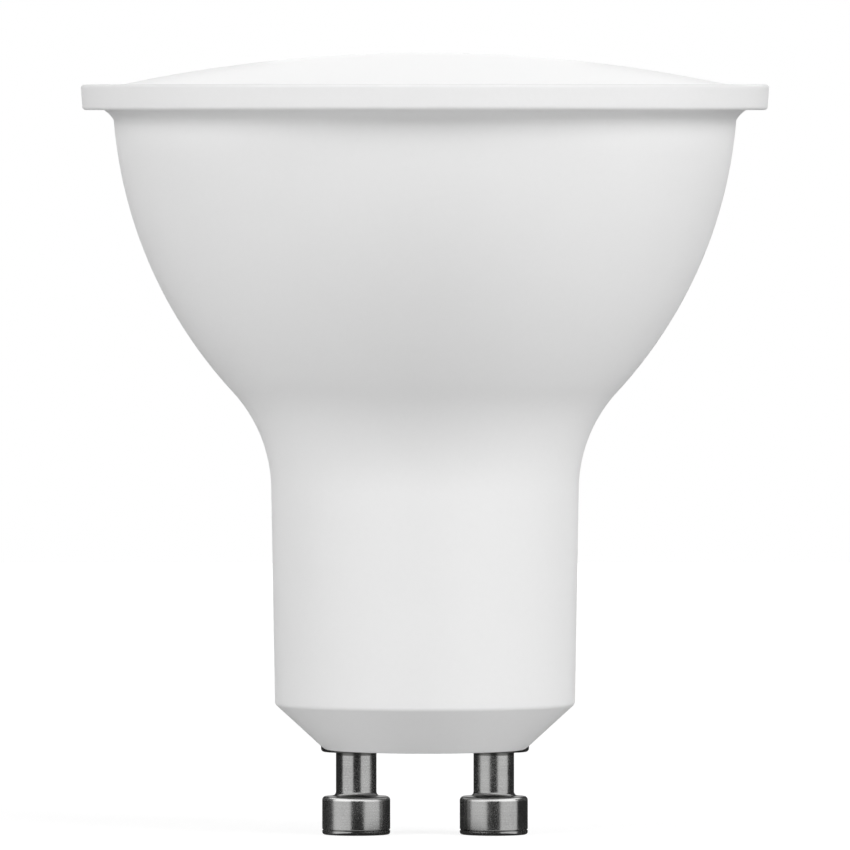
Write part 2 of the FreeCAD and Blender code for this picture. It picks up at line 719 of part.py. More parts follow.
def drum_choke():
    """Wound drum core between two flanges, with two bent leads."""
    top = CAN_FOOT + CHOKE_L
    drum = turned(rounded([
        (spot(0, CAN_FOOT), 0),
        (spot(CHOKE_R, CAN_FOOT), 0),
        (spot(CHOKE_R, CAN_FOOT + CHOKE_FLANGE_T), 0),
        (spot(CHOKE_COIL_R, CAN_FOOT + CHOKE_FLANGE_T), 0),
        (spot(CHOKE_COIL_R, top - CHOKE_FLANGE_T), 0),
        (spot(CHOKE_R, top - CHOKE_FLANGE_T), 0),
        (spot(CHOKE_R, top), 0),
        (spot(0, top), 0),
        (spot(0, CAN_FOOT), 0),
    ]))
    drum = moved(drum, y=DRIVER_FRONT - BODY_GAP - CHOKE_R)
    return moved(merged([drum] + can_leads(CHOKE_R, CHOKE_PITCH)), x=CHOKE_X)


def film_capacitor():
    """Moulded box capacitor that stands out from the driver board."""
    face = DRIVER_FRONT - BODY_GAP
    body = block(
        (-FILM_WIDTH / 2, FILM_WIDTH / 2),
        (face - FILM_DEPTH, face),
        (FILM_Z - FILM_T / 2, FILM_Z + FILM_T / 2),
    )
    body = body.makeFillet(FILM_EDGE, body.Edges)
    leads = []
    for side in (-1, 1):
        start = FreeCAD.Vector(side * FILM_PITCH / 2, face - FILM_EDGE, FILM_Z)
        end = FreeCAD.Vector(side * FILM_PITCH / 2, DRIVER_BACK + LEAD_TIP, FILM_Z)
        leads.append(rod(LEAD_R, start, end))
    return merged([body] + leads)


def fusible_resistor():
    """Axial resistor across the back of the driver board, its leads bent into it."""
    half = RESISTOR_L / 2
    waist = half - RESISTOR_CAP_L
    body = turned(rounded([
        (spot(0, -half), 0),
        (spot(RESISTOR_R, -half), RESISTOR_EDGE),
        (spot(RESISTOR_R, -waist), 0),
        (spot(RESISTOR_WAIST_R, -waist), 0),
        (spot(RESISTOR_WAIST_R, waist), 0),
        (spot(RESISTOR_R, waist), 0),
        (spot(RESISTOR_R, half), RESISTOR_EDGE),
        (spot(0, half), 0),
        (spot(0, -half), 0),
    ]))
    body.rotate(ORIGIN, Y_AXIS, 90)
    pieces = [moved(body, y=RESISTOR_Y, z=RESISTOR_Z)]
    for side in (-1, 1):
        route = [
            FreeCAD.Vector(side * waist, RESISTOR_Y, RESISTOR_Z),
            FreeCAD.Vector(side * RESISTOR_PITCH / 2, RESISTOR_Y, RESISTOR_Z),
            FreeCAD.Vector(side * RESISTOR_PITCH / 2, DRIVER_FRONT - LEAD_TIP, RESISTOR_Z),
        ]
        pieces.append(bent_wire(LEAD_R, route, LEAD_BEND))
    return merged(pieces)


def winged_part(width, length, height, span, pitch, rows):
    """Surface-mounted part centred on z = 0 at the back of the driver board, with stepped legs."""
    low = DRIVER_BACK + LEG_T
    leg_y = DRIVER_BACK + height / 2
    pieces = [block((-width / 2, width / 2), (low, DRIVER_BACK + height), (-length / 2, length / 2))]
    for side in (-1, 1):
        riser = side * (span / 2 - FOOT_L)
        outline = [
            (side * (width / 2 - LEG_T), leg_y),
            (riser, leg_y),
            (riser, DRIVER_BACK),
            (side * span / 2, DRIVER_BACK),
            (side * span / 2, DRIVER_BACK + LEG_T),
            (riser + side * LEG_T, DRIVER_BACK + LEG_T),
            (riser + side * LEG_T, leg_y + LEG_T),
            (side * (width / 2 - LEG_T), leg_y + LEG_T),
            (side * (width / 2 - LEG_T), leg_y),
        ]
        for row in range(rows):
            z = (row - (rows - 1) / 2) * pitch - LEG_WIDTH / 2
            face = Part.Face(Part.makePolygon([FreeCAD.Vector(x, y, z) for x, y in outline]))
            pieces.append(face.extrude(Z_AXIS * LEG_WIDTH))
    return merged(pieces)


def bridge_rectifier():
    """Four-legged rectifier on the back of the driver board."""
    part = winged_part(BRIDGE_WIDTH, BRIDGE_LENGTH, BRIDGE_H, BRIDGE_SPAN, BRIDGE_LEG_PITCH, 2)
    return moved(part, z=BRIDGE_Z)


def driver_chip():
    """Eight-legged driver chip on the back of the driver board."""
    part = winged_part(CHIP_WIDTH, CHIP_LENGTH, CHIP_H, CHIP_SPAN, CHIP_LEG_PITCH, 4)
    return moved(part, z=CHIP_Z)


def main():
    """Build each piece and write it to its own file."""
    pieces = {
        "housing": housing(),
        "diffuser_cover": diffuser_cover(),
        "heat_sink": heat_sink(),
        "thermal_pad": thermal_pad(),
        "led_board": led_board(),
        "board_screws": board_screws(),
        "driver_board": driver_board(),
        "smoothing_capacitor": smoothing_capacitor(),
        "drum_choke": drum_choke(),
        "film_capacitor": film_capacitor(),
        "bridge_rectifier": bridge_rectifier(),
        "driver_chip": driver_chip(),
        "fusible_resistor": fusible_resistor(),
    }
    for number, package in enumerate(led_packages(), 1):
        pieces[f"led_package_{number:02d}"] = package
    for name, side in (("left", -1), ("right", 1)):
        pieces[f"pin_{name}"] = moved(contact_pin(), x=side * PIN_SPACING / 2)
        pieces[f"pin_wire_{name}"] = moved(pin_wire(), x=side * PIN_SPACING / 2)
    for name, side in (("red", -1), ("black", 1)):
        pieces[f"led_wire_{name}"] = moved(led_wire(), x=side * LED_WIRE_PITCH / 2)
    os.makedirs("parts", exist_ok=True)
    for name, shape in pieces.items():
        shape.exportStep(f"parts/{name}.step")


main()
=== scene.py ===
"""Dresses a mains spotlight bulb: a satin white bell with an opal front, on two turned pins."""

import logging
import math
from dataclasses import dataclass, field, replace
from enum import Enum
from functools import cache

import bmesh
import bpy
from mathutils import Matrix, Vector


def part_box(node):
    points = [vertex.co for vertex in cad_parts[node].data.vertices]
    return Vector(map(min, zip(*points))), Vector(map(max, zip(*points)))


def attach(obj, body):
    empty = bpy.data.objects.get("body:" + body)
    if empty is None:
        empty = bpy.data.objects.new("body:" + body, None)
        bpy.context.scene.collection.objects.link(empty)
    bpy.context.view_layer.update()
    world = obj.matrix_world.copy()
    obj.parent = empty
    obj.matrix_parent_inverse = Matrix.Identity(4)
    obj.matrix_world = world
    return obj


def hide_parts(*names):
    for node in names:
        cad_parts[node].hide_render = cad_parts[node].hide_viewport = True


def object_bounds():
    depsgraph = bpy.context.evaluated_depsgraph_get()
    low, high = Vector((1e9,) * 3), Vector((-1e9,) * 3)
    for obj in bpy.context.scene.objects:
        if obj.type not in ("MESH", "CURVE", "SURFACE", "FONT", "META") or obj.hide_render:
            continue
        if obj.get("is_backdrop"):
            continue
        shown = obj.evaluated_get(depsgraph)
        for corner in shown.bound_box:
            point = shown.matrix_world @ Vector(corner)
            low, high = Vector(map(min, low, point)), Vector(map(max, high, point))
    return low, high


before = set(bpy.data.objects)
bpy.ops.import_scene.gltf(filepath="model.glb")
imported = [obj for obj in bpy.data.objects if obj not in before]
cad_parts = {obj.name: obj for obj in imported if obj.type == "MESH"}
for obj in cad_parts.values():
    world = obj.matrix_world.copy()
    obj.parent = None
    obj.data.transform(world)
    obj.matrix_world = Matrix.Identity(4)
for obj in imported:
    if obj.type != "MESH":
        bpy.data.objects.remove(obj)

BODY = "root"
MM = 0.001
FULL_TURN = 2 * math.pi
SHARP_ANGLE = math.radians(34)
WELD = 1e-4  # millimetres
LOG = logging.getLogger("bulb")

Colour = tuple[float, float, float]
Mesh = bmesh.types.BMesh
Socket = bpy.types.NodeSocket
WHITE: Colour = (1.0, 1.0, 1.0)


def box_mm(node: str) -> tuple[Vector, Vector]:
    """A node's lowest and highest corners at rest, in millimetres."""
    low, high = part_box(node)
    return low / MM, high / MM


class Join(Enum):
    """What a second mesh does to the first one where they meet."""

    ADD = "UNION"
    CUT = "DIFFERENCE"
    KEEP_INSIDE = "INTERSECT"


class Along(Enum):
    """The measure that a zone's limits are given on."""

    X = "x"
    Y = "y"
    Z = "z"
    SIDE = "distance from the middle plane between the pins"


@dataclass(frozen=True)
class Corner:
    """A corner of a turned outline, in millimetres."""

    radius: float
    height: float
    round: float = 0.0

    def place(self) -> Vector:
        """The corner's place in the XZ plane."""
        return Vector((self.radius, 0.0, self.height))


class Outline:
    """A turned outline that a tip draws through the XZ plane, in millimetres."""

    round_steps = 7
    support = 0.1  # from a straight stretch's ends to the points that keep it flat
    shortest = 0.4  # the shortest stretch that gets such points

    def __init__(self, radius: float, height: float) -> None:
        """Sets the tip down.

        Args:
            radius: Distance from the axis.
            height: Height along the axis.
        """
        self.mesh = bmesh.new()
        self.tip = self.mesh.verts.new((radius, 0.0, height))

    def _step(self, place: Vector) -> None:
        """Extrudes the tip to a place.

        Args:
            place: Where the tip goes.
        """
        made = bmesh.ops.extrude_vert_indiv(self.mesh, verts=[self.tip])
        self.tip = made["verts"][0]
        self.tip.co = place

    def line(self, radius: float, height: float) -> None:
        """Draws a straight stretch with a supporting point near each end.

        Args:
            radius: The end's distance from the axis.
            height: The end's height.
        """
        start, end = self.tip.co.copy(), Vector((radius, 0.0, height))
        length = (end - start).length
        if length > self.shortest:
            self._step(start.lerp(end, self.support / length))
            self._step(start.lerp(end, 1 - self.support / length))
        if length > WELD:
            self._step(end)

    def arc(self, centre: Vector, end: Vector, steps: int) -> None:
        """Spins the tip about a centre, the short way round.

        Args:
            centre: The arc's centre.
            end: Where the arc ends.
            steps: How many edges it has.
        """
        start, stop = self.tip.co - centre, end - centre
        swing = math.atan2(start.z, start.x) - math.atan2(stop.z, stop.x)
        swing = (swing + math.pi) % FULL_TURN - math.pi
        made = bmesh.ops.spin(
            self.mesh,
            geom=[self.tip],
            cent=centre,
            axis=(0, 1, 0),
            angle=swing,
            steps=steps,
            use_merge=False,
            use_duplicate=False,
        )
        self.tip = next(part for part in made["geom_last"] if isinstance(part, bmesh.types.BMVert))

    def bow(self, end: Vector, depth: float) -> None:
        """Draws a slightly hollow stretch.

        Args:
            end: Where it ends.
            depth: How far its middle lies off the straight line.
        """
        start = self.tip.co.copy()
        chord = end - start
        radius = (chord.length_squared / 4 + depth ** 2) / (2 * depth)
        off = Vector((chord.z, 0, -chord.x)).normalized()
        self.arc((start + end) / 2 + off * (radius - depth), end, self.round_steps)

    def chain(self, *corners: Corner) -> None:
        """Draws straight stretches through corners and rounds those that ask for it.

        Args:
            corners: The corners that follow the tip, the last one sharp.
        """
        places = [self.tip.co.copy()] + [corner.place() for corner in corners]
        for before, corner, after in zip(places, corners, places[2:]):
            here = corner.place()
            if corner.round == 0:
                self.line(here.x, here.z)
                continue
            back, ahead = (before - here).normalized(), (after - here).normalized()
            half_turn = back.angle(ahead) / 2
            reach = corner.round / math.tan(half_turn)
            centre = here + (back + ahead).normalized() * (corner.round / math.sin(half_turn))
            start = here + back * reach
            self.line(start.x, start.z)
            self.arc(centre, here + ahead * reach, self.round_steps)
        self.line(corners[-1].radius, corners[-1].height)

    def turned(self, steps: int) -> Mesh:
        """Turns the outline all the way round Z.

        Args:
            steps: How many steps the full turn has.

        Returns:
            The closed mesh.
        """
        bmesh.ops.spin(
            self.mesh,
            geom=self.mesh.verts[:] + self.mesh.edges[:],
            cent=(0, 0, 0),
            axis=(0, 0, 1),
            angle=FULL_TURN,
            steps=steps,
            use_merge=True,
        )
        return self._closed()

    def swept(self, angle: float, steps: int) -> Mesh:
        """Fills the closed outline and turns it part of the way round Z.

        Args:
            angle: How far it turns.
            steps: How many steps the turn has.

        Returns:
            The closed mesh.
        """
        bmesh.ops.remove_doubles(self.mesh, verts=self.mesh.verts, dist=WELD)
        made = bmesh.ops.contextual_create(self.mesh, geom=self.mesh.edges[:])
        bmesh.ops.spin(
            self.mesh,
            geom=made["faces"],
            cent=(0, 0, 0),
            axis=(0, 0, 1),
            angle=angle,
            steps=steps,
            use_merge=False,
        )
        return self._closed()

    def _closed(self) -> Mesh:
        """Merges what meets and turns the faces outwards.

        Returns:
            The closed mesh.
        """
        bmesh.ops.remove_doubles(self.mesh, verts=self.mesh.verts, dist=WELD)
        bmesh.ops.recalc_face_normals(self.mesh, faces=self.mesh.faces)
        return self.mesh


def block(low: Vector, high: Vector) -> Mesh:
    """Box between two corners.

    Args:
        low: The lowest corner, in millimetres.
        high: The highest corner, in millimetres.

    Returns:
        The box as a mesh.
    """
    mesh = bmesh.new()
    bmesh.ops.create_cube(mesh, size=1)
    bmesh.ops.scale(mesh, vec=high - low, verts=mesh.verts)
    bmesh.ops.translate(mesh, vec=(low + high) / 2, verts=mesh.verts)
    return mesh


def placed(name: str, mesh: Mesh) -> bpy.types.Object:
    """Puts a mesh into the scene.

    Args:
        name: The object's name.
        mesh: Its mesh, which is used up.

    Returns:
        The object.
    """
    data = bpy.data.meshes.new(name)
    mesh.to_mesh(data)
    mesh.free()
    made = bpy.data.objects.new(name, data)
    bpy.context.scene.collection.objects.link(made)
    return made


def repeated(mesh: Mesh, count: int) -> Mesh:
    """Spreads copies of a mesh evenly round Z.

    Args:
        mesh: The first copy.
        count: How many there are in all.

    Returns:
        The mesh with all its copies.
    """
    first = mesh.verts[:] + mesh.edges[:] + mesh.faces[:]
    for _ in range(count - 1):
        made = bmesh.ops.duplicate(mesh, geom=first)
        first = made["geom"]
        turning = [part for part in first if isinstance(part, bmesh.types.BMVert)]
        turn = Matrix.Rotation(FULL_TURN / count, 3, "Z")
        bmesh.ops.rotate(mesh, cent=(0, 0, 0), verts=turning, matrix=turn)
    return mesh


class Workpiece:
    """A piece in the making: a mesh in millimetres that other meshes add to and cut."""

    def __init__(self, name: str, mesh: Mesh) -> None:
        """Makes the piece's object.

        Args:
            name: The piece's name.
            mesh: Its first mesh.
        """
        self.object = placed(name, mesh)

    def join(self, how: Join, mesh: Mesh) -> "Workpiece":
        """Adds a mesh, cuts it out, or keeps only what is inside it.

        Args:
            how: Which of the three.
            mesh: The second mesh, which is used up.

        Returns:
            The piece itself.
        """
        tool = placed("tool", mesh)
        change = self.object.modifiers.new("join", "BOOLEAN")
        change.operation = how.value
        change.solver = "EXACT"
        change.object = tool
        graph = bpy.context.evaluated_depsgraph_get()
        changed = bpy.data.meshes.new_from_object(self.object.evaluated_get(graph))
        self.object.modifiers.clear()
        old, self.object.data = self.object.data, changed
        bpy.data.meshes.remove(old)
        used = tool.data
        bpy.data.objects.remove(tool)
        bpy.data.meshes.remove(used)
        return self

    def taken(self) -> Mesh:
        """Takes the mesh back out of the scene, to use it on another piece.

        Returns:
            The mesh.
        """
        mesh = bmesh.new()
        mesh.from_mesh(self.object.data)
        data = self.object.data
        bpy.data.objects.remove(self.object)
        bpy.data.meshes.remove(data)
        return mesh

    def finished(self, finish: "Finish", node: str, shift: float = 0.0) -> bpy.types.Object:
        """Brings the piece to metres, shades it and puts it in a node's place.

        Args:
            finish: Its surface.
            node: The node that it stands for.
            shift: How far it moves along X, in millimetres.

        Returns:
            The finished object.
        """
        mesh = bmesh.new()
        mesh.from_mesh(self.object.data)
        bmesh.ops.remove_doubles(mesh, verts=mesh.verts, dist=WELD)
        bmesh.ops.dissolve_degenerate(mesh, edges=mesh.edges, dist=WELD)
        bmesh.ops.translate(mesh, vec=(shift, 0, 0), verts=mesh.verts)
        bmesh.ops.scale(mesh, vec=(MM, MM, MM), verts=mesh.verts)
        bmesh.ops.recalc_face_normals(mesh, faces=mesh.faces)
        mesh.to_mesh(self.object.data)
        triangles = sum(len(face.verts) - 2 for face in mesh.faces)
        open_edges = sum(not edge.is_manifold for edge in mesh.edges)
        mesh.free()
        self.object.data.shade_smooth()
        self.object.data.set_sharp_from_angle(angle=SHARP_ANGLE)
        self.object.data.materials.clear()
        self.object.data.materials.append(finish.material())
        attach(self.object, BODY)
        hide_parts(node)
        LOG.info("%s: %d triangles, %d open edges", node, triangles, open_edges)
        return self.object


class Graph:
    """A node tree with one short call that adds and joins nodes."""

    def __init__(self, tree: bpy.types.NodeTree) -> None:
        """Wraps a tree.

        Args:
            tree: The tree that nodes are added to.
        """
        self.tree = tree

    def node(self, kind: str, inputs: dict | None = None, **settings: object) -> bpy.types.Node:
        """Adds a node.

        Args:
            kind: The node's type.
            inputs: Values or sockets for its inputs, by name or number.
            settings: Its own properties.

        Returns:
            The new node.
        """
        made = self.tree.nodes.new(kind)
        for name, value in settings.items():
            setattr(made, name, value)
        for key, value in (inputs or {}).items():
            self.feed(made, key, value)
        return made

    def math(self, operation: str, *values: object) -> Socket:
        """Result of a calculation on numbers or sockets."""
        return self.node("ShaderNodeMath", dict(enumerate(values)), operation=operation).outputs[0]

    def noise(
        self, vector: object, scale: object, detail: float, roughness: float, **settings: object
    ) -> Socket:
        """Fractal noise over a place."""
        inputs = {"Vector": vector, "Scale": scale, "Detail": detail, "Roughness": roughness}
        return self.node("ShaderNodeTexNoise", inputs, **settings).outputs[0]

    def scaled(self, colour: object, by: object) -> Socket:
        """Colour made lighter or darker by a factor."""
        inputs = {0: colour, "Scale": by}
        return self.node("ShaderNodeVectorMath", inputs, operation="SCALE").outputs[0]

    def apart(self, place: object) -> bpy.types.bpy_prop_collection:
        """The three coordinates of a place."""
        return self.node("ShaderNodeSeparateXYZ", {0: place}).outputs

    def from_axis(self, place: object) -> Socket:
        """Distance of a place from the Z axis.

        Args:
            place: The place.

        Returns:
            The socket with the distance.
        """
        split = self.apart(place)
        flat = self.node("ShaderNodeCombineXYZ", {0: split[0], 1: split[1]}).outputs[0]
        return self.node("ShaderNodeVectorMath", {0: flat}, operation="LENGTH").outputs["Value"]

    def blend(self, mask: object, first: object, second: object) -> Socket:
        """Value between two numbers or sockets, by a mask."""
        inputs = {"Factor": mask, "A": first, "B": second}
        return self.node("ShaderNodeMix", inputs, data_type="FLOAT").outputs["Result"]

    def blend_colours(self, mask: object, first: object, second: object) -> Socket:
        """Colour between two colours or sockets, by a mask."""
        inputs = {"Factor": mask, 6: first, 7: second}  # the numbers of the colour sockets
        return self.node("ShaderNodeMix", inputs, data_type="RGBA").outputs[2]

    def feed(self, node: bpy.types.Node, name: str | int, value: object) -> None:
        """Sets an input to a number, or joins a socket to it."""
        if isinstance(value, Socket):
            self.tree.links.new(value, node.inputs[name])
        else:
            node.inputs[name].default_value = value


def emptied(holder: bpy.types.Material | bpy.types.World) -> Graph:
    """The node tree of a new material or world, with nothing in it.

    Args:
        holder: The material or world.

    Returns:
        Its tree, ready for nodes.
    """
    holder.use_nodes = True
    holder.node_tree.nodes.clear()
    return Graph(holder.node_tree)


class Effect:
    """A shared surface effect: a node group that is built once and placed in many finishes."""

    name = ""
    inputs: dict[str, str] = {}
    outputs: dict[str, str] = {}

    def draw(self, graph: Graph, given: bpy.types.Node) -> dict[str, Socket]:
        """Builds the nodes inside the group.

        Args:
            graph: The group's tree.
            given: The group's input node.

        Returns:
            The socket for each output.
        """
        raise NotImplementedError

    def tree(self) -> bpy.types.NodeTree:
        """Builds the group the first time that it is asked for.

        Returns:
            The group's tree.
        """
        found = bpy.data.node_groups.get(self.name)
        if found:
            return found
        tree = bpy.data.node_groups.new(self.name, "ShaderNodeTree")
        for way, sockets in (("INPUT", self.inputs), ("OUTPUT", self.outputs)):
            for name, kind in sockets.items():
                tree.interface.new_socket(name=name, in_out=way, socket_type="NodeSocket" + kind)
        graph = Graph(tree)
        results = self.draw(graph, graph.node("NodeGroupInput"))
        graph.node("NodeGroupOutput", results)
        return tree

    def placed(self, graph: Graph, **values: object) -> bpy.types.Node:
        """Places the group in a finish.

        Args:
            graph: The finish's tree.
            values: Its inputs, with _ for a space.

        Returns:
            The group's node.
        """
        inputs = {name.replace("_", " "): value for name, value in values.items()}
        return graph.node("ShaderNodeGroup", inputs, node_tree=self.tree())


class MouldGrain(Effect):
    """Fine even grain over slow clouds, which varies colour, gloss and height."""

    name = "mould_grain"
    inputs = {
        "Vector": "Vector",
        "Scale": "Float",
        "Colour": "Color",
        "Colour Spread": "Float",
        "Roughness": "Float",
        "Roughness Spread": "Float",
    }
    outputs = {"Colour": "Color", "Roughness": "Float", "Height": "Float"}
    fine_detail, fine_roughness = 3.0, 0.55
    cloud_detail, cloud_roughness = 2.0, 0.5
    cloud_share = 0.03  # the clouds' scale as a share of the grain's

    def draw(self, graph: Graph, given: bpy.types.Node) -> dict[str, Socket]:
        """Builds two noises and spreads the values with them.

        Args:
            graph: The group's tree.
            given: The group's input node.

        Returns:
            The socket for each output.
        """
        socket = given.outputs
        place, scale = socket["Vector"], socket["Scale"]
        fine = graph.noise(place, scale, self.fine_detail, self.fine_roughness)
        slow = graph.math("MULTIPLY", scale, self.cloud_share)
        cloud = graph.noise(place, slow, self.cloud_detail, self.cloud_roughness)
        even = graph.math("SUBTRACT", graph.math("ADD", fine, cloud), 1.0)
        tone = graph.math("MULTIPLY_ADD", even, socket["Colour Spread"], 1.0)
        rough = graph.math("MULTIPLY_ADD", even, socket["Roughness Spread"], socket["Roughness"])
        return {"Colour": graph.scaled(socket["Colour"], tone), "Roughness": rough, "Height": fine}


class TurnedMarks(Effect):
    """Rings that a tool leaves on a turned piece, on its sides and its end faces."""

    name = "turned_marks"
    inputs = {"Vector": "Vector", "Pitch": "Float"}
    outputs = {"Height": "Float", "Mask": "Float"}
    detail, roughness = 4.0, 0.6
    lowest, highest = 0.35, 0.65  # the noise's valleys and ridges

    def draw(self, graph: Graph, given: bpy.types.Node) -> dict[str, Socket]:
        """Builds noise over distance from the axis and height, the same all the way round.

        Args:
            graph: The group's tree.
            given: The group's input node.

        Returns:
            The socket for each output.
        """
        vector, pitch = given.outputs["Vector"], given.outputs["Pitch"]
        inputs = {0: graph.from_axis(vector), 1: graph.apart(vector)[2]}
        place = graph.node("ShaderNodeCombineXYZ", inputs).outputs[0]
        rings = graph.noise(place, pitch, self.detail, self.roughness, noise_dimensions="2D")
        limits = {"Value": rings, "From Min": self.lowest, "From Max": self.highest}
        return {"Height": rings, "Mask": graph.node("ShaderNodeMapRange", limits).outputs[0]}


class Band(Effect):
    """Mask of what lies between two values of a measure, with soft ends."""

    name = "band"
    inputs = {"Value": "Float", "Start": "Float", "End": "Float", "Softness": "Float"}
    outputs = {"Mask": "Float"}

    def draw(self, graph: Graph, given: bpy.types.Node) -> dict[str, Socket]:
        """Builds one rise at each end and multiplies them.

        Args:
            graph: The group's tree.
            given: The group's input node.

        Returns:
            The socket for each output.
        """
        socket = given.outputs
        rises = []
        for higher, lower in (("Value", "Start"), ("End", "Value")):
            distance = graph.math("SUBTRACT", socket[higher], socket[lower])
            rises.append(graph.node(
                "ShaderNodeMapRange",
                {
                    "Value": distance,
                    "From Min": graph.math("MULTIPLY", socket["Softness"], -1.0),
                    "From Max": socket["Softness"],
                },
                interpolation_type="SMOOTHSTEP",
            ).outputs[0])
        return {"Mask": graph.math("MULTIPLY", *rises)}


@dataclass(frozen=True)
class Skin:
    """One surface: its colour, gloss and grain."""

    colour: Colour
    roughness: float
    metallic: float = 0.0
    colour_spread: float = 0.03
    roughness_spread: float = 0.05


@dataclass(frozen=True)
class Zone:
    """Where another skin shows on a piece, between two measures in millimetres."""

    along: Along
    start: float
    end: float
    skin: Skin


@dataclass(frozen=True)
class Finish:
    """A material: a skin with its grain, and zones where other skins show."""

    name: str
    skin: Skin
    zones: tuple[Zone, ...] = ()
    grain_scale: float = 900.0  # per metre
    grain_depth: float = 0.01  # millimetres
    grain_stretch: Colour = (1.0, 1.0, 1.0)
    zone_fade: float = 0.02  # millimetres

    @cache
    def material(self) -> bpy.types.Material:
        """Builds the material the first time that it is asked for.

        Returns:
            The material.
        """
        made = bpy.data.materials.new(self.name)
        graph = emptied(made)
        place = graph.node("ShaderNodeTexCoord").outputs["Object"]
        shader = graph.node("ShaderNodeBsdfPrincipled")
        self._skinned(graph, shader, place)
        self._worked(graph, shader, place)
        graph.node("ShaderNodeOutputMaterial", {"Surface": shader.outputs[0]})
        return made

    def _grained(self, graph: Graph, skin: Skin, place: Socket) -> bpy.types.Node:
        """Grain with one skin's colour and gloss.

        Args:
            graph: The material's tree.
            skin: The skin.
            place: Where the surface is, in the piece's coordinates.

        Returns:
            The grain's node.
        """
        return MouldGrain().placed(
            graph,
            Vector=place,
            Scale=self.grain_scale,
            Colour=(*skin.colour, 1.0),
            Colour_Spread=skin.colour_spread,
            Roughness=skin.roughness,
            Roughness_Spread=skin.roughness_spread,
        )

    def _skinned(self, graph: Graph, shader: bpy.types.Node, place: Socket) -> None:
        """Gives the shader the skin, its zones and the bump of the grain.

        Args:
            graph: The material's tree.
            shader: Its main shader.
            place: Where the surface is, in the piece's coordinates.
        """
        stretched = graph.node("ShaderNodeMapping", {"Vector": place, "Scale": self.grain_stretch})
        base = self._grained(graph, self.skin, stretched.outputs[0]).outputs
        colour, roughness, metallic = base["Colour"], base["Roughness"], self.skin.metallic
        split = graph.apart(place)
        measures = {Along.X: split[0], Along.Y: split[1], Along.Z: split[2]}
        measures[Along.SIDE] = graph.math("ABSOLUTE", split[0])
        for zone in self.zones:
            mask = Band().placed(
                graph,
                Value=measures[zone.along],
                Start=zone.start * MM,
                End=zone.end * MM,
                Softness=self.zone_fade * MM,
            ).outputs["Mask"]
            other = self._grained(graph, zone.skin, stretched.outputs[0]).outputs
            colour = graph.blend_colours(mask, colour, other["Colour"])
            roughness = graph.blend(mask, roughness, other["Roughness"])
            if zone.skin.metallic != self.skin.metallic:
                metallic = graph.blend(mask, metallic, zone.skin.metallic)
        bump = graph.node(
            "ShaderNodeBump", {"Height": base["Height"], "Distance": self.grain_depth * MM}
        )
        graph.feed(shader, "Base Color", colour)
        graph.feed(shader, "Roughness", roughness)
        graph.feed(shader, "Metallic", metallic)
        graph.feed(shader, "Normal", bump.outputs[0])

    def _worked(self, graph: Graph, shader: bpy.types.Node, place: Socket) -> None:
        """Room for what a special finish adds."""


@dataclass(frozen=True)
class TurnedFinish(Finish):
    """Metal with the rings that a turning tool leaves about its axis."""

    axis_at: float = 0.0  # millimetres from the middle plane, on both sides
    marks_pitch: float = 9000.0  # per metre
    marks_depth: float = 0.001  # millimetres
    marks_tone: float = 0.08  # how much darker the marks' valleys are

    def _worked(self, graph: Graph, shader: bpy.types.Node, place: Socket) -> None:
        """Adds the rings to the colour and the bump.

        Args:
            graph: The material's tree.
            shader: Its main shader.
            place: Where the surface is, in the piece's coordinates.
        """
        split = graph.apart(place)
        side = graph.math("SUBTRACT", graph.math("ABSOLUTE", split[0]), self.axis_at * MM)
        about = graph.node("ShaderNodeCombineXYZ", {0: side, 1: split[1], 2: split[2]}).outputs[0]
        marks = TurnedMarks().placed(graph, Vector=about, Pitch=self.marks_pitch).outputs
        colour = shader.inputs["Base Color"].links[0].from_socket
        dark = graph.scaled(colour, 1 - self.marks_tone)
        graph.feed(shader, "Base Color", graph.blend_colours(marks["Mask"], dark, colour))
        grained = shader.inputs["Normal"].links[0].from_socket
        bump = graph.node(
            "ShaderNodeBump",
            {"Height": marks["Height"], "Distance": self.marks_depth * MM, "Normal": grained},
        )
        graph.feed(shader, "Normal", bump.outputs[0])


@dataclass(frozen=True)
class OpalFinish(Finish):
    """Opal plastic that is lit from behind, brightest in its middle."""

    glow: float = 0.056
    glow_edge: float = 0.9  # the glow at the edge as a share of the middle's
    glow_radius: float = 22.0  # millimetres

    def _worked(self, graph: Graph, shader: bpy.types.Node, place: Socket) -> None:
        """Adds light that falls off from the axis.

        Args:
            graph: The material's tree.
            shader: Its main shader.
            place: Where the surface is, in the piece's coordinates.
        """
        spread = graph.node(
            "ShaderNodeMapRange",
            {
                "Value": graph.from_axis(place),
                "From Max": self.glow_radius * MM,
                "To Min": 1.0,
                "To Max": self.glow_edge,
            },
            interpolation_type="SMOOTHSTEP",
        ).outputs[0]
        graph.feed(shader, "Emission Color", graph.scaled(WHITE, spread))
        shader.inputs["Emission Strength"].default_value = self.glow


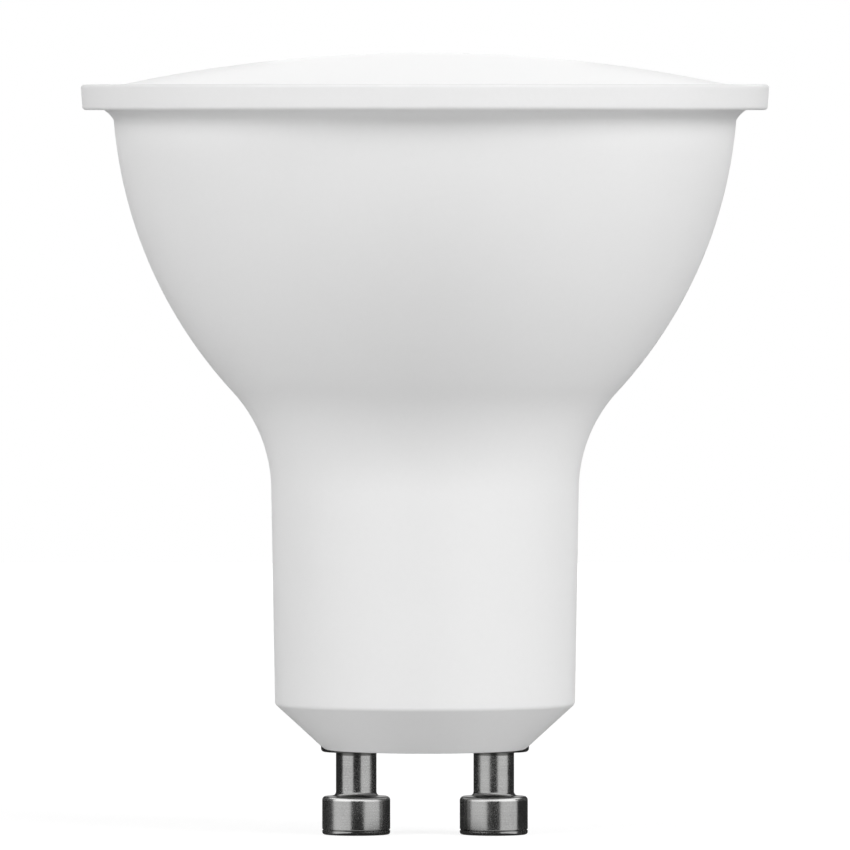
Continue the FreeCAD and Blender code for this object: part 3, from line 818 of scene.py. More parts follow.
@dataclass(frozen=True)
class Shell:
    """The outline of bell, waist and neck, moved inwards by a thickness. Sizes in millimetres."""

    rim_top: float
    rim_radius: float
    inset: float = 0.0
    rim_overhang: float = 2.3
    bell_arc: float = 32.9
    waist_arc: float = 10.5
    neck_radius: float = 10.9
    neck_draft: float = 1.0  # degrees
    cone_height: float = 3.3

    @property
    def slope(self) -> float:
        """How fast the neck widens with height."""
        return math.tan(math.radians(self.neck_draft))

    @property
    def bell_centre(self) -> Vector:
        """Centre of the bell's arc."""
        return Vector((self.rim_radius - self.rim_overhang - self.bell_arc, 0, self.rim_top))

    @property
    def bell_radius(self) -> float:
        """Radius of the bell's arc."""
        return self.bell_arc - self.inset

    @property
    def waist_centre(self) -> Vector:
        """Centre of the waist's arc, which touches the neck's line and the bell's arc.

        Returns:
            The centre, in the XZ plane.
        """
        # A quadratic in the height: the centre lies on a line beside the neck, and at the
        # sum of both arcs' radii from the bell's centre.
        square = math.hypot(1, self.slope)
        start = self.neck_radius - self.slope * self.cone_height + self.waist_arc * square
        start -= self.bell_centre.x
        first = self.slope * start - self.rim_top
        rest = start ** 2 + self.rim_top ** 2 - (self.bell_arc + self.waist_arc) ** 2
        height = (-first - math.sqrt(first ** 2 - square ** 2 * rest)) / square ** 2
        return Vector((self.bell_centre.x + start + self.slope * height, 0, height))

    @property
    def waist_radius(self) -> float:
        """Radius of the waist's arc."""
        return self.waist_arc + self.inset

    @property
    def bell_start(self) -> float:
        """Height where the waist meets the bell."""
        way = (self.waist_centre - self.bell_centre).normalized()
        return self.bell_centre.z + way.z * self.bell_radius

    @property
    def waist_start(self) -> float:
        """Height where the neck meets the waist."""
        return self.waist_centre.z + self.waist_radius * self.slope / math.hypot(1, self.slope)

    def radius(self, height: float) -> float:
        """Radius of the outline at a height.

        Args:
            height: The height.

        Returns:
            The radius.
        """
        if height >= self.bell_start:
            return self.bell_centre.x + math.sqrt(self.bell_radius ** 2 - (height - self.rim_top) ** 2)
        if height >= self.waist_start:
            drop = height - self.waist_centre.z
            return self.waist_centre.x - math.sqrt(self.waist_radius ** 2 - drop ** 2)
        neck = self.neck_radius - self.inset * math.hypot(1, self.slope)
        return neck + self.slope * (height - self.cone_height)

    def at(self, height: float) -> Vector:
        """Point of the outline at a height."""
        return Vector((self.radius(height), 0, height))

    def inward(self, thickness: float) -> "Shell":
        """The outline of a wall's other side."""
        return replace(self, inset=thickness)


@dataclass(frozen=True)
class SnapFit:
    """The cover's snap lugs, and the groove's room round them. Sizes in millimetres."""

    drop: float = 0.85  # from the cover's seat down to the lugs' tops
    height: float = 0.7
    proud: float = 0.4
    lip: float = 0.23
    gap: float = 0.12


@dataclass
class Housing:
    """The moulded bell, rim, neck and base, with everything that is moulded inside them.

    Sizes are in millimetres.
    """

    finish: Finish
    rim_thickness: float = 1.85
    rim_upper_edge: float = 0.22
    rim_lower_edge: float = 0.28
    rim_draft: float = 0.13  # how much narrower the rim is at its lower edge
    rim_slant: tuple[float, float] = (0.72, 0.74)  # width and height of the slant under the rim
    rim_slant_hollow: float = 0.07
    shelf_room: float = 0.85  # from the shelf's top to the end of the room that holds it
    wall: float = 1.3
    cone_edge: float = 0.4
    seat_radius: float = 7.3
    seat_edge: float = 0.3
    floor: float = 2.2
    cover_seat_depth: float = 1.5
    cover_gap: float = 0.05
    boss_radius: float = 3.1
    boss_height: float = 1.0
    bore_radius: float = 1.73
    pocket_radius: float = 2.6
    pocket_depth: float = 0.9
    shelf_height: float = 4.0
    shelf_thickness: float = 1.2
    shelf_width: float = 1.45
    shelf_count: int = 6
    rail_top: float = 18.0
    rail_thickness: float = 0.9
    rail_grip: float = 0.8
    board_foot: float = 5.6
    board_gap: float = 0.1
    board_side_gap: float = 0.15
    skirt_gap: float = 0.15
    snap: SnapFit = SnapFit()
    lean_over: float = 5.0  # how far a cutting mesh runs past what it cuts
    arc_step: float = 0.45  # millimetres of arc to an edge
    arc_least: int = 4  # edges of the shortest arc
    turn_steps: int = 240
    drill_steps: int = 96
    shell: Shell = field(init=False)
    board: tuple[Vector, Vector] = field(init=False)
    shelf_top: float = field(init=False)
    cover_seat_radius: float = field(init=False)
    skirt_radius: float = field(init=False)

    def __post_init__(self) -> None:
        """Takes the overall sizes from the frame."""
        high = box_mm("housing")[1]
        self.shell = Shell(rim_top=high.z, rim_radius=high.x)
        self.board = box_mm("driver_board")
        self.shelf_top = box_mm("heat_sink")[0].z
        cover_low, cover_high = box_mm("diffuser_cover")
        self.cover_seat_radius = cover_high.x + self.cover_gap
        self.skirt_radius = self.shell.inward(self.wall).radius(cover_low.z) - self.skirt_gap

    @property
    def cover_seat(self) -> float:
        """Height of the ledge that the cover sits on."""
        return self.shell.rim_top - self.cover_seat_depth

    def _arc_steps(self, start: Vector, end: Vector) -> int:
        """How many edges an arc between two points gets."""
        return max(self.arc_least, round((end - start).length / self.arc_step))

    def _down_inside(self, draw: Outline, inset: float, floor: float) -> None:
        """Draws the wall's inner side from the tip down to the axis.

        Args:
            draw: The outline, with its tip on the inner side of the bell.
            inset: How far this side lies inside the outer one.
            floor: Height of the floor.
        """
        side = self.shell.inward(inset)
        lean = (side.neck_radius - self.seat_radius) / side.cone_height
        foot = self.seat_radius - inset * math.hypot(1, lean)
        neck_foot = side.radius(0) - foot
        corner = side.at(neck_foot / (lean - side.slope))  # where cone and neck meet
        waist, neck = side.at(side.bell_start), side.at(side.waist_start)
        draw.arc(side.bell_centre, waist, self._arc_steps(draw.tip.co, waist))
        draw.arc(side.waist_centre, neck, self._arc_steps(waist, neck))
        draw.chain(Corner(corner.x, corner.z), Corner(foot + lean * floor, floor), Corner(0, floor))

    def _walls(self) -> Mesh:
        """Bell, rim, neck, base and floor, with the cover's seat and the snap groove.

        Returns:
            The closed mesh.
        """
        outer, inner = self.shell, self.shell.inward(self.wall)
        rim_under = outer.rim_top - self.rim_thickness
        slant_width, slant_height = self.rim_slant
        on_bell = outer.at(rim_under - slant_height)
        neck, waist = outer.at(outer.waist_start), outer.at(outer.bell_start)
        draw = Outline(0, 0)
        draw.chain(
            Corner(self.seat_radius, 0, self.seat_edge),
            Corner(outer.neck_radius, outer.cone_height, self.cone_edge),
            Corner(neck.x, neck.z),
        )
        draw.arc(outer.waist_centre, waist, self._arc_steps(neck, waist))
        draw.arc(outer.bell_centre, on_bell, self._arc_steps(waist, on_bell))
        draw.bow(Vector((on_bell.x + slant_width, 0, rim_under)), self.rim_slant_hollow)
        draw.chain(
            Corner(outer.rim_radius - self.rim_draft, rim_under, self.rim_lower_edge),
            Corner(outer.rim_radius, outer.rim_top, self.rim_upper_edge),
            Corner(self.cover_seat_radius, outer.rim_top),
            Corner(self.cover_seat_radius, self.cover_seat),
            Corner(inner.radius(self.cover_seat), self.cover_seat),
        )
        groove_top = self.cover_seat - self.snap.drop + self.snap.gap
        groove_end = groove_top - self.snap.height - 2 * self.snap.gap
        depth = self.skirt_radius + self.snap.proud + self.snap.gap
        draw.arc(inner.bell_centre, inner.at(groove_top), Outline.round_steps)
        draw.chain(
            Corner(depth, groove_top),
            Corner(depth, groove_end),
            Corner(inner.radius(groove_end), groove_end),
        )
        self._down_inside(draw, self.wall, self.floor)
        return draw.turned(self.turn_steps)

    def _room(self) -> Mesh:
        """The room inside, up to half the wall's depth, which the fittings are trimmed to.

        Returns:
            The closed mesh.
        """
        middle = self.wall / 2
        top = self.shell.inward(middle).at(self.shelf_top + self.shelf_room)
        draw = Outline(0, top.z)
        draw.line(top.x, top.z)
        self._down_inside(draw, middle, self.floor / 2)
        return draw.turned(self.turn_steps)

    def _rails(self) -> Workpiece:
        """The two slotted ribs that hold the driver board by its edges.

        Returns:
            The ribs, untrimmed.
        """
        low, high = self.board
        front, back = low.y - self.board_gap, high.y + self.board_gap
        far = self.shell.neck_radius + self.lean_over
        above = self.rail_top + self.lean_over
        rails = Workpiece("rails", block(
            Vector((-far, front - self.rail_thickness, 0)),
            Vector((far, back + self.rail_thickness, self.rail_top)),
        ))
        gap = high.x - self.rail_grip
        rails.join(Join.CUT, block(Vector((-gap, -far, -far)), Vector((gap, far, above))))
        slot = high.x + self.board_side_gap
        foot = Vector((-slot, front, self.board_foot))
        return rails.join(Join.CUT, block(foot, Vector((slot, back, above))))

    def _shelf(self) -> Mesh:
        """Ribs round the bell that the heat sink stands on.

        Returns:
            The ribs, untrimmed.
        """
        inside = self.shell.inward(self.wall).radius(self.shelf_top) - self.shelf_width
        low = Vector((inside, -self.shelf_thickness / 2, self.shelf_top - self.shelf_height))
        high = Vector((inside + self.lean_over, self.shelf_thickness / 2, self.shelf_top))
        rib = block(low, high)
        first = Matrix.Rotation(math.pi / self.shelf_count, 3, "Z")
        bmesh.ops.rotate(rib, cent=(0, 0, 0), verts=rib.verts, matrix=first)
        return repeated(rib, self.shelf_count)

    def _drill(self) -> Mesh:
        """Stepped drill for a pin's collar and spigot.

        Returns:
            One drill at each pin.
        """
        top = self.floor + self.boss_height + self.lean_over
        draw = Outline(0, -self.lean_over)
        draw.chain(
            Corner(self.pocket_radius, -self.lean_over),
            Corner(self.pocket_radius, self.pocket_depth),
            Corner(self.bore_radius, self.pocket_depth),
            Corner(self.bore_radius, top),
            Corner(0, top),
        )
        return self._at_pins(draw.turned(self.drill_steps))

    def _bosses(self) -> Mesh:
        """Bosses on the floor round the pins.

        Returns:
            One boss at each pin.
        """
        foot, top = self.floor / 2, self.floor + self.boss_height
        draw = Outline(0, foot)
        draw.chain(Corner(self.boss_radius, foot), Corner(self.boss_radius, top), Corner(0, top))
        return self._at_pins(draw.turned(self.drill_steps))

    def _at_pins(self, mesh: Mesh) -> Mesh:
        """Two copies of a mesh, one at each pin."""
        bmesh.ops.translate(mesh, vec=(pin_spacing() / 2, 0, 0), verts=mesh.verts)
        return repeated(mesh, 2)

    def build(self) -> bpy.types.Object:
        """Makes the housing and dresses it.

        Returns:
            The housing's object.
        """
        fittings = self._rails()
        fittings.join(Join.ADD, self._bosses())
        fittings.join(Join.ADD, self._shelf())
        fittings.join(Join.KEEP_INSIDE, self._room())
        body = Workpiece("moulded_housing", self._walls())
        body.join(Join.ADD, fittings.taken())
        body.join(Join.CUT, self._drill())
        return body.finished(self.finish, "housing")


@dataclass
class FrontCover:
    """The domed opal cover with its skirt and snap lugs. Sizes in millimetres."""

    finish: Finish
    housing: Housing
    dome_rise: float = 2.3
    dome_thickness: float = 1.5
    edge: float = 0.2
    skirt_thickness: float = 1.0
    lug_count: int = 4
    lug_span: float = 20.0  # degrees
    dome_steps: int = 60
    turn_steps: int = 240
    lug_steps: int = 14

    def _dome(self) -> Mesh:
        """Dome and skirt.

        Returns:
            The closed mesh.
        """
        low, high = box_mm("diffuser_cover")
        seat = self.housing.cover_seat
        radius = (high.x ** 2 + self.dome_rise ** 2) / (2 * self.dome_rise)
        sphere = Vector((0, 0, high.z - radius))
        skirt = self.housing.skirt_radius
        mouth_r = skirt - self.skirt_thickness
        inner = radius - self.dome_thickness
        mouth = Vector((mouth_r, 0, sphere.z + math.sqrt(inner ** 2 - mouth_r ** 2)))
        edge_r = high.x - self.edge
        edge = Vector((edge_r, 0, sphere.z + math.sqrt((radius - self.edge) ** 2 - edge_r ** 2)))
        draw = Outline(0, high.z)
        on_dome = sphere + (edge - sphere).normalized() * radius
        draw.arc(sphere, on_dome, self.dome_steps)
        draw.arc(edge, Vector((high.x, 0, edge.z)), Outline.round_steps)
        draw.chain(
            Corner(high.x, seat),
            Corner(skirt, seat),
            Corner(skirt, low.z),
            Corner(mouth_r, low.z),
            Corner(mouth.x, mouth.z),
        )
        draw.arc(sphere, Vector((0, 0, sphere.z + inner)), self.dome_steps)
        return draw.turned(self.turn_steps)

    def _lugs(self) -> Mesh:
        """Snap lugs round the skirt, flat on top and sloped below.

        Returns:
            All the lugs.
        """
        skirt, snap = self.housing.skirt_radius, self.housing.snap
        root = skirt - self.skirt_thickness / 2
        top = self.housing.cover_seat - snap.drop
        draw = Outline(root, top)
        draw.chain(
            Corner(skirt + snap.proud, top),
            Corner(skirt + snap.proud, top - snap.lip),
            Corner(skirt, top - snap.height),
            Corner(root, top - snap.height),
            Corner(root, top),
        )
        span = math.radians(self.lug_span)
        lug = draw.swept(span, self.lug_steps)
        back = Matrix.Rotation(-span / 2, 3, "Z")
        bmesh.ops.rotate(lug, cent=(0, 0, 0), verts=lug.verts, matrix=back)
        return repeated(lug, self.lug_count)

    def build(self) -> bpy.types.Object:
        """Makes the cover and dresses it.

        Returns:
            The cover's object.
        """
        cover = Workpiece("opal_cover", self._dome())
        cover.join(Join.ADD, self._lugs())
        return cover.finished(self.finish, "diffuser_cover")


@dataclass
class ContactPins:
    """The two turned pins: head, shank, collar, fluted spigot and hollow wire end.

    Sizes are in millimetres.
    """

    finish: TurnedFinish
    housing: Housing
    reach: float = 6.2  # from the seat down to the heads' ends
    head_radius: float = 2.475
    head_length: float = 2.8
    head_end_edge: float = 0.2
    head_back_edge: float = 0.3
    tool_line_height: float = 0.36  # above the head's end
    tool_line_width: float = 0.12
    tool_line_depth: float = 0.08
    shank_radius: float = 1.475
    shank_fillet: float = 0.33
    collar_radius: float = 2.56
    collar_proud: float = 0.19
    collar_edge: float = 0.25
    spigot_radius: float = 1.7
    spigot_top: float = 3.2
    tube_radius: float = 1.2
    tube_bore: float = 0.6
    tube_bore_depth: float = 3.4
    flute_count: int = 12
    flute_radius: float = 0.16
    flute_sides: int = 16
    turn_steps: int = 144

    def _turning(self) -> Mesh:
        """One pin about Z, before its flutes.

        Returns:
            The closed mesh.
        """
        top = box_mm("pin_left")[1].z
        pocket = self.housing.pocket_depth
        back = self.head_length - self.reach
        line = self.tool_line_height - self.reach
        draw = Outline(0, -self.reach)
        draw.chain(
            Corner(self.head_radius, -self.reach, self.head_end_edge),
            Corner(self.head_radius, line - self.tool_line_width / 2),
            Corner(self.head_radius - self.tool_line_depth, line),
            Corner(self.head_radius, line + self.tool_line_width / 2),
            Corner(self.head_radius, back, self.head_back_edge),
            Corner(self.shank_radius, back, self.shank_fillet),
            Corner(self.shank_radius, -self.collar_proud),
            Corner(self.collar_radius, -self.collar_proud, self.collar_edge),
            Corner(self.collar_radius, pocket),
            Corner(self.spigot_radius, pocket),
            Corner(self.spigot_radius, self.spigot_top),
            Corner(self.tube_radius, self.spigot_top),
            Corner(self.tube_radius, top),
            Corner(self.tube_bore, top),
            Corner(self.tube_bore, top - self.tube_bore_depth),
            Corner(0, top - self.tube_bore_depth),
        )
        return draw.turned(self.turn_steps)

    def _flutes(self) -> Mesh:
        """The grip flutes along the spigot, as the rods that cut them.

        Returns:
            All the rods.
        """
        pocket = self.housing.pocket_depth
        mesh = bmesh.new()
        bmesh.ops.create_cone(
            mesh,
            cap_ends=True,
            segments=self.flute_sides,
            radius1=self.flute_radius,
            radius2=self.flute_radius,
            depth=self.spigot_top - pocket,
        )
        middle = (self.spigot_top + pocket) / 2
        bmesh.ops.translate(mesh, vec=(self.spigot_radius, 0, middle), verts=mesh.verts)
        return repeated(mesh, self.flute_count)

    def build(self) -> list[bpy.types.Object]:
        """Makes both pins and dresses them.

        Returns:
            The two pins' objects.
        """
        made = []
        for name, side in (("left", -1), ("right", 1)):
            pin = Workpiece(f"turned_pin_{name}", self._turning())
            pin.join(Join.CUT, self._flutes())
            at = side * pin_spacing() / 2
            made.append(pin.finished(self.finish, f"pin_{name}", shift=at))
        return made


def pin_spacing() -> float:
    """Distance between the pins' axes in millimetres, from the frame."""
    (left_low, left_high), (right_low, right_high) = box_mm("pin_left"), box_mm("pin_right")
    return (right_low.x + right_high.x - left_low.x - left_high.x) / 2


def satin_plastic() -> Finish:
    """White plastic with a fine moulding grain, for the housing."""
    skin = Skin(colour=(0.80, 0.80, 0.80), roughness=0.45, colour_spread=0.02, roughness_spread=0.08)
    return Finish("satin_white_plastic", skin, grain_scale=2600.0, grain_depth=0.006)


def lit_opal() -> OpalFinish:
    """Smooth opal plastic that glows, for the cover."""
    skin = Skin(colour=(0.90, 0.90, 0.90), roughness=0.3, colour_spread=0.01)
    return OpalFinish("glowing_opal", skin, grain_scale=1800.0, grain_depth=0.004)


def pin_plating() -> TurnedFinish:
    """Nickel plate for the pins, with painted shade just under the base and behind the heads, and a
    painted highlight along the heads' edges.

    Returns:
        The finish.
    """
    plate = Skin(
        colour=(0.45, 0.45, 0.445), roughness=0.23, metallic=1.0,
        colour_spread=0.5, roughness_spread=0.3,
    )
    # painted shade: a dark nickel tone where the shank meets the base and behind the head, where shade
    # falls
    painted_shade = Skin(colour=(0.16, 0.16, 0.155), roughness=0.3, metallic=1.0, colour_spread=0.5)
    # painted highlight: a bright nickel tone on the head's rounded edge, standing in for a lamp's
    # glint
    painted_highlight = Skin(colour=(0.95, 0.95, 0.94), roughness=0.25, metallic=1.0, colour_spread=0.2)
    # where the painted shade and the painted highlight lie along the pin
    shade_under_the_base = Zone(Along.Z, -0.42, 0.0, painted_shade)
    shade_behind_the_head = Zone(Along.Z, -3.44, -3.32, painted_shade)
    highlight_on_head_edge = Zone(Along.Z, -3.69, -3.5, painted_highlight)
    return TurnedFinish(
        "nickel_plate", plate, zones=(shade_under_the_base, shade_behind_the_head, highlight_on_head_edge),
        grain_scale=9000.0, grain_depth=0.001, axis_at=pin_spacing() / 2,
    )


def dressed(node: str, finish: Finish) -> None:
    """Gives a node its finish.

    Args:
        node: The node's name.
        finish: Its surface.
    """
    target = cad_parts[node]
    if not target.material_slots:
        target.data.materials.append(None)
    for held in target.material_slots:
        held.material = finish.material()
    LOG.info("%s: %s", node, finish.name)


TINNED = Skin(colour=(0.72, 0.72, 0.70), roughness=0.3, metallic=1.0, colour_spread=0.05)


@dataclass
class LightEngine:
    """Heat sink, pad, light board, its packages and its screws. Sizes in millimetres."""

    well_depth: float = 0.12
    well_band: float = 0.03

    def _package(self) -> Finish:
        """White package with phosphor in its well.

        Returns:
            The finish.
        """
        well = box_mm("led_package_01")[1].z - self.well_depth
        phosphor = Skin(colour=(0.83, 0.62, 0.10), roughness=0.55, colour_spread=0.06)
        zone = Zone(Along.Z, well - self.well_band, well + self.well_band, phosphor)
        body = Skin(colour=(0.84, 0.84, 0.81), roughness=0.45)
        return Finish("light_package", body, zones=(zone,), grain_scale=4000.0, grain_depth=0.004)

    def dress(self) -> None:
        """Gives each node its finish."""
        dressed("heat_sink", Finish(
            "soft_drawn_aluminium",
            Skin(colour=(0.78, 0.79, 0.80), roughness=0.36, metallic=1.0, colour_spread=0.08),
            grain_scale=1400.0,
            grain_stretch=(1.0, 1.0, 0.06),
        ))
        dressed("thermal_pad", Finish(
            "silicone_pad", Skin(colour=(0.34, 0.36, 0.38), roughness=0.8, colour_spread=0.12),
            grain_scale=3000.0, grain_depth=0.02,
        ))
        dressed("led_board", Finish(
            "white_lacquer", Skin(colour=(0.86, 0.86, 0.84), roughness=0.38), grain_depth=0.006,
        ))
        dressed("board_screws", Finish(
            "zinc_plate",
            Skin(colour=(0.66, 0.67, 0.69), roughness=0.32, metallic=1.0, colour_spread=0.1),
            grain_scale=2500.0, grain_depth=0.006,
        ))
        package = self._package()
        for node in sorted(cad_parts):
            if node.startswith("led_package_"):
                dressed(node, package)


@dataclass
class Driver:
    """The driver board and everything that is soldered to it. Sizes in millimetres."""

    can_length: float = 12.5
    can_top_edge: float = 0.6
    choke_length: float = 10.0
    choke_flange: float = 1.2
    resistor_half: float = 3.25  # half the length of the resistor's body
    package_half: float = 1.95  # half the width of the rectifier's and the chip's bodies
    stripe_width: float = 0.45
    case_gap: float = 0.2
    beyond: float = 99.0  # past the end of every piece

    def _stripes(self) -> tuple[Zone, ...]:
        """Value stripes round the resistor's body, and its bare leads.

        Returns:
            The zones.
        """
        paints = (  # where each stripe starts, and its colour
            (-1.6, (0.16, 0.05, 0.02)),
            (-0.6, (0.02, 0.02, 0.02)),
            (0.4, (0.02, 0.02, 0.02)),
            (1.5, (0.55, 0.38, 0.08)),
        )
        stripes = [
            Zone(Along.X, at, at + self.stripe_width, Skin(colour=paint, roughness=0.4))
            for at, paint in paints
        ]
        return (*stripes, Zone(Along.SIDE, self.resistor_half, self.beyond, TINNED))

    def _can(self) -> Finish:
        """Sleeved can with a bare top and tinned leads.

        Returns:
            The finish.
        """
        top = box_mm("smoothing_capacitor")[1].z
        bare = Skin(colour=(0.80, 0.80, 0.80), roughness=0.35, metallic=1.0)
        zones = (
            Zone(Along.Z, top - self.can_top_edge, self.beyond, bare),
            Zone(Along.Z, 0, top - self.can_length, TINNED),
        )
        return Finish("can_sleeve", Skin(colour=(0.03, 0.035, 0.07), roughness=0.28), zones=zones)

    def _choke(self) -> Finish:
        """Ferrite drum with an enamelled winding and tinned leads.

        Returns:
            The finish.
        """
        top = box_mm("drum_choke")[1].z
        foot = top - self.choke_length
        copper = Skin(colour=(0.62, 0.25, 0.08), roughness=0.3, metallic=1.0, colour_spread=0.12)
        zones = (
            Zone(Along.Z, foot + self.choke_flange, top - self.choke_flange, copper),
            Zone(Along.Z, 0, foot, TINNED),
        )
        ferrite = Skin(colour=(0.05, 0.05, 0.055), roughness=0.6, colour_spread=0.2)
        return Finish("ferrite_and_winding", ferrite, zones=zones, grain_scale=2500.0)

    def dress(self) -> None:
        """Gives each node its finish."""
        board_front = box_mm("driver_board")[0].y
        legs = (Zone(Along.SIDE, self.package_half, self.beyond, TINNED),)
        leads = (Zone(Along.Y, board_front - self.case_gap, self.beyond, TINNED),)
        dressed("driver_board", Finish(
            "green_lacquer",
            Skin(colour=(0.02, 0.16, 0.06), roughness=0.35, colour_spread=0.15),
            grain_scale=1600.0,
        ))
        dressed("smoothing_capacitor", self._can())
        dressed("drum_choke", self._choke())
        dressed("film_capacitor", Finish(
            "yellow_case", Skin(colour=(0.76, 0.55, 0.07), roughness=0.42), zones=leads,
        ))
        dressed("fusible_resistor", Finish(
            "green_coat", Skin(colour=(0.10, 0.30, 0.14), roughness=0.4), zones=self._stripes(),
        ))
        moulded = Finish(
            "black_moulding", Skin(colour=(0.025, 0.025, 0.028), roughness=0.55),
            zones=legs, grain_scale=5000.0,
        )
        dressed("bridge_rectifier", moulded)
        dressed("driver_chip", moulded)


@dataclass
class Wiring:
    """Wires between pins, driver board and light board. Sizes in millimetres."""

    strip: float = 1.2  # bare length at the wires' ends

    def dress(self) -> None:
        """Gives each node its finish."""
        board_back = box_mm("driver_board")[1].y
        bare = Finish("tinned_copper", TINNED, grain_scale=3000.0, grain_depth=0.004)
        for side in ("left", "right"):
            dressed(f"pin_wire_{side}", bare)
        for name, colour in (("red", (0.55, 0.02, 0.015)), ("black", (0.015, 0.015, 0.016))):
            end = box_mm(f"led_wire_{name}")[1].y
            zones = (
                Zone(Along.Y, 0, board_back, TINNED),
                Zone(Along.Y, end - self.strip, end + self.strip, TINNED),
            )
            dressed(f"led_wire_{name}", Finish(
                f"{name}_insulation", Skin(colour=colour, roughness=0.4), zones=zones,
            ))


@dataclass(frozen=True)
class Lamp:
    """A soft square lamp that faces the bulb and isn't seen in reflections.

    Angles are in degrees, sizes in metres.
    """

    name: str
    azimuth: float
    elevation: float
    power: float
    size: float = 0.6
    distance: float = 0.8

    def place(self, target: Vector) -> None:
        """Hangs the lamp and turns it to the bulb.

        Args:
            target: What the lamp faces.
        """
        data = bpy.data.lights.new(self.name, "AREA")
        data.shape = "SQUARE"
        data.size = self.size
        data.energy = self.power
        lamp = bpy.data.objects.new(self.name, data)
        turn, rise = math.radians(self.azimuth), math.radians(self.elevation)
        way = Vector((
            math.sin(turn) * math.cos(rise),
            -math.cos(turn) * math.cos(rise),
            math.sin(rise),
        ))
        lamp.location = target + way * self.distance
        lamp.rotation_euler = way.to_track_quat("Z", "Y").to_euler()
        lamp.visible_glossy = False
        bpy.context.scene.collection.objects.link(lamp)


@dataclass(frozen=True)
class Card:
    """A dark upright card that only reflections see. Angles in degrees, sizes in metres."""

    name: str
    start: float
    end: float
    distance: float = 0.1
    bottom: float = -0.15
    top: float = 0.065
    bend: float = 4.0  # degrees to a flat strip of the card

    def place(self, finish: bpy.types.Material) -> None:
        """Bends the card round the bulb.

        Args:
            finish: Its dark surface.
        """
        mesh = bmesh.new()
        turn = math.radians(self.start)
        spot = (self.distance * math.sin(turn), -self.distance * math.cos(turn), self.bottom)
        corner = mesh.verts.new(spot)
        rail = bmesh.ops.extrude_vert_indiv(mesh, verts=[corner])
        bmesh.ops.translate(mesh, vec=(0, 0, self.top - self.bottom), verts=rail["verts"])
        bmesh.ops.spin(
            mesh,
            geom=mesh.verts[:] + mesh.edges[:],
            cent=(0, 0, 0),
            axis=(0, 0, 1),
            angle=math.radians(self.end - self.start),
            steps=round(abs(self.end - self.start) / self.bend),
            use_merge=False,
        )
        only_reflected(staged(self.name, mesh, finish))


def staged(name: str, mesh: Mesh, finish: bpy.types.Material) -> bpy.types.Object:
    """Puts a piece of the studio into the scene.

    Args:
        name: The piece's name.
        mesh: Its mesh in metres, which is used up.
        finish: Its surface.

    Returns:
        The piece's object.
    """
    made = placed(name, mesh)
    made.data.materials.append(finish)
    made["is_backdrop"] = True
    return made


def only_reflected(piece: bpy.types.Object) -> None:
    """Hides a piece of the studio from everything but reflections.

    Args:
        piece: The piece.
    """
    piece.visible_camera = False
    piece.visible_diffuse = False
    piece.visible_shadow = False
    piece.visible_transmission = False


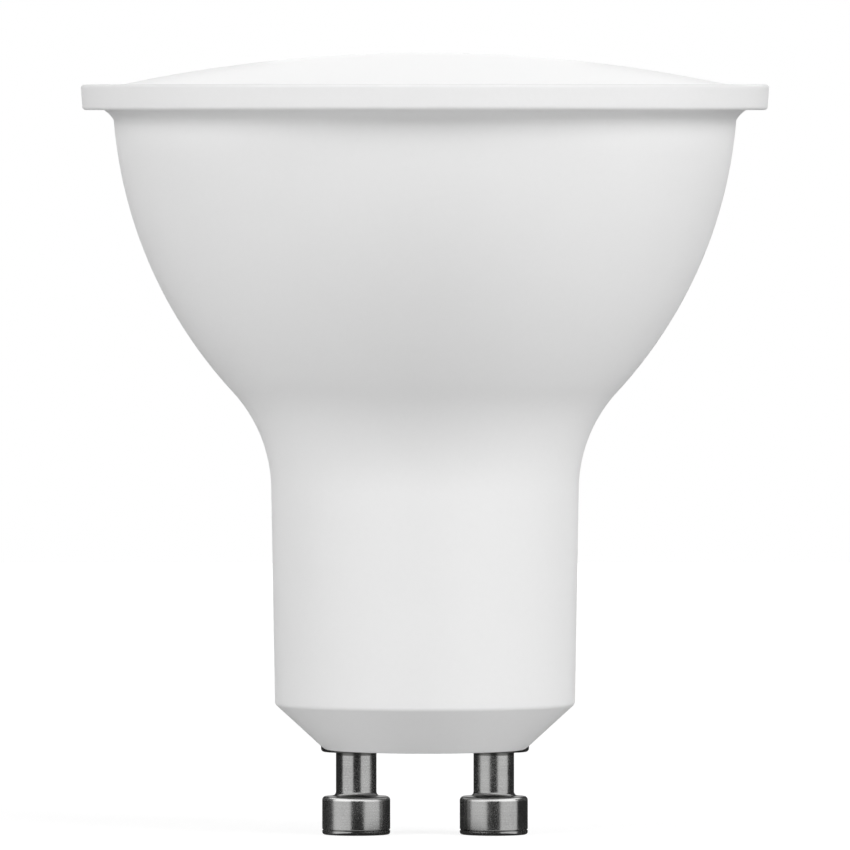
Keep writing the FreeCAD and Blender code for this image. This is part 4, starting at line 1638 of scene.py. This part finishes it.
@dataclass
class Studio:
    """Pale floor, white surround, soft lamps, dark cards, a disc of painted shade at the pins' feet,
    and the camera. Sizes in metres.
    """

    floor_radius: float = 0.6
    floor_steps: int = 96
    floor_colour: float = 0.62
    floor_light: float = 0.8
    floor_shadow: float = 0.28
    card_colour: float = 0.045
    # a dark disc that only reflections see: painted shade for the floor's shadow at the pins' feet
    foot_card_radius: float = 0.007
    foot_card_lift: float = 0.00001
    camera_distance: float = 1.0
    camera_reach: float = 10.0
    camera_height: float = 0.0465
    aim_height: float = 0.02357
    lens: float = 583.0  # millimetres
    sensor: float = 36.0  # millimetres
    lamps: tuple[Lamp, ...] = (
        Lamp("left_lamp", azimuth=-45, elevation=10, power=1.2),
        Lamp("right_lamp", azimuth=45, elevation=10, power=1.27),
        Lamp("left_side_lamp", azimuth=-75, elevation=16, power=2.05),
        Lamp("right_side_lamp", azimuth=75, elevation=20, power=1.52),
        Lamp("right_edge_lamp", azimuth=112, elevation=10, power=0.5),
        Lamp("left_back_lamp", azimuth=-160, elevation=14, power=2.3),
        Lamp("right_back_lamp", azimuth=160, elevation=14, power=2.3),
        Lamp("left_upper_lamp", azimuth=-48, elevation=28, power=1.91, size=0.4),
        Lamp("right_upper_lamp", azimuth=48, elevation=28, power=2.81, size=0.4),
        Lamp("top_lamp", azimuth=0, elevation=72, power=1.2),
    )
    cards: tuple[Card, ...] = (
        Card("front_card", start=-20, end=24, top=0.018),
        Card("left_card", start=-83, end=-172),
        Card("right_card", start=85, end=172),
    )

    def _seen(self, graph: Graph) -> Socket:
        """1 for rays from the camera, from gloss or through glass.

        Args:
            graph: The tree that asks for it.

        Returns:
            The socket with the answer.
        """
        path = graph.node("ShaderNodeLightPath").outputs
        shiny = graph.math("MAXIMUM", path["Is Glossy Ray"], path["Is Transmission Ray"])
        return graph.math("MAXIMUM", path["Is Camera Ray"], shiny)

    def _world(self) -> None:
        """White to the camera and in reflections, and no light of its own."""
        world = bpy.data.worlds.new("surround")
        graph = emptied(world)
        light = graph.node(
            "ShaderNodeBackground", {"Color": (*WHITE, 1.0), "Strength": self._seen(graph)}
        )
        graph.node("ShaderNodeOutputWorld", {"Surface": light.outputs[0]})
        bpy.context.scene.world = world

    def _floor(self) -> None:
        """Round pale floor that keeps a soft shadow and is open from below."""
        material = bpy.data.materials.new("pale_floor")
        graph = emptied(material)
        pale, shade = (self.floor_colour,) * 3, (self.floor_shadow,) * 3
        plain = graph.node("ShaderNodeBsdfDiffuse", {"Color": (*pale, 1)})
        soft = graph.node("ShaderNodeBsdfDiffuse", {"Color": (*shade, 1)})
        lit = graph.node("ShaderNodeEmission", {"Strength": self.floor_light})
        white = graph.node("ShaderNodeAddShader", {0: soft.outputs[0], 1: lit.outputs[0]})
        upper = graph.node(
            "ShaderNodeMixShader", {0: self._seen(graph), 1: plain.outputs[0], 2: white.outputs[0]}
        )
        below = graph.node("ShaderNodeNewGeometry").outputs["Backfacing"]
        clear = graph.node("ShaderNodeBsdfTransparent")
        both = graph.node(
            "ShaderNodeMixShader", {0: below, 1: upper.outputs[0], 2: clear.outputs[0]}
        )
        graph.node("ShaderNodeOutputMaterial", {"Surface": both.outputs[0]})
        staged("floor", self._disc(self.floor_radius, 0), material).visible_glossy = False

    def _disc(self, radius: float, lift: float) -> Mesh:
        """Flat disc, lifted from the height that the pins stand on.

        Args:
            radius: Its radius.
            lift: How far it is lifted.

        Returns:
            The disc.
        """
        mesh = bmesh.new()
        bmesh.ops.create_circle(mesh, cap_ends=True, segments=self.floor_steps, radius=radius)
        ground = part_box("pin_left")[0].z
        bmesh.ops.translate(mesh, vec=(0, 0, ground + lift), verts=mesh.verts)
        return mesh

    def _dark(self) -> bpy.types.Material:
        """Surface of the cards: a plain dark glow, so that no lamp brightens it.

        Returns:
            The material.
        """
        material = bpy.data.materials.new("dark_card")
        graph = emptied(material)
        tone = graph.node("ShaderNodeEmission", {"Strength": self.card_colour})
        graph.node("ShaderNodeOutputMaterial", {"Surface": tone.outputs[0]})
        return material

    def _camera(self) -> None:
        """Camera far in front of the bulb, with a long lens that looks slightly down."""
        data = bpy.data.cameras.new("camera")
        data.lens = self.lens
        data.sensor_width = self.sensor
        data.clip_end = self.camera_reach
        camera = bpy.data.objects.new("camera", data)
        camera.location = (0, -self.camera_distance, self.camera_height)
        pitch = math.atan2(self.aim_height - self.camera_height, self.camera_distance)
        camera.rotation_euler = (math.pi / 2 + pitch, 0, 0)
        bpy.context.scene.collection.objects.link(camera)
        bpy.context.scene.camera = camera

    def build(self) -> None:
        """Sets up the whole studio."""
        bpy.context.scene.view_settings.view_transform = "Standard"
        self._world()
        self._floor()
        for lamp in self.lamps:
            lamp.place(Vector((0, 0, self.aim_height)))
        dark = self._dark()
        for card in self.cards:
            card.place(dark)
        # painted shade: the floor's shadow round the pins' feet, as a dark disc that only reflections
        # see
        foot = self._disc(self.foot_card_radius, self.foot_card_lift)
        only_reflected(staged("painted_foot_shade", foot, dark))
        self._camera()


def corners() -> list[list[float]]:
    """Lowest and highest corners of everything that rides, as plain numbers."""
    return [[float(value) for value in corner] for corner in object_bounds()]


def main() -> None:
    """Builds the bulb's pieces, dresses its inside and sets up the studio."""
    logging.basicConfig(level=logging.INFO, format="%(name)s: %(message)s")
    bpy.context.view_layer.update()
    housing = Housing(satin_plastic())
    housing.build()
    FrontCover(lit_opal(), housing).build()
    ContactPins(pin_plating(), housing).build()
    LightEngine().dress()
    Driver().dress()
    Wiring().dress()
    Studio().build()


if __name__ == "__main__":
    main()
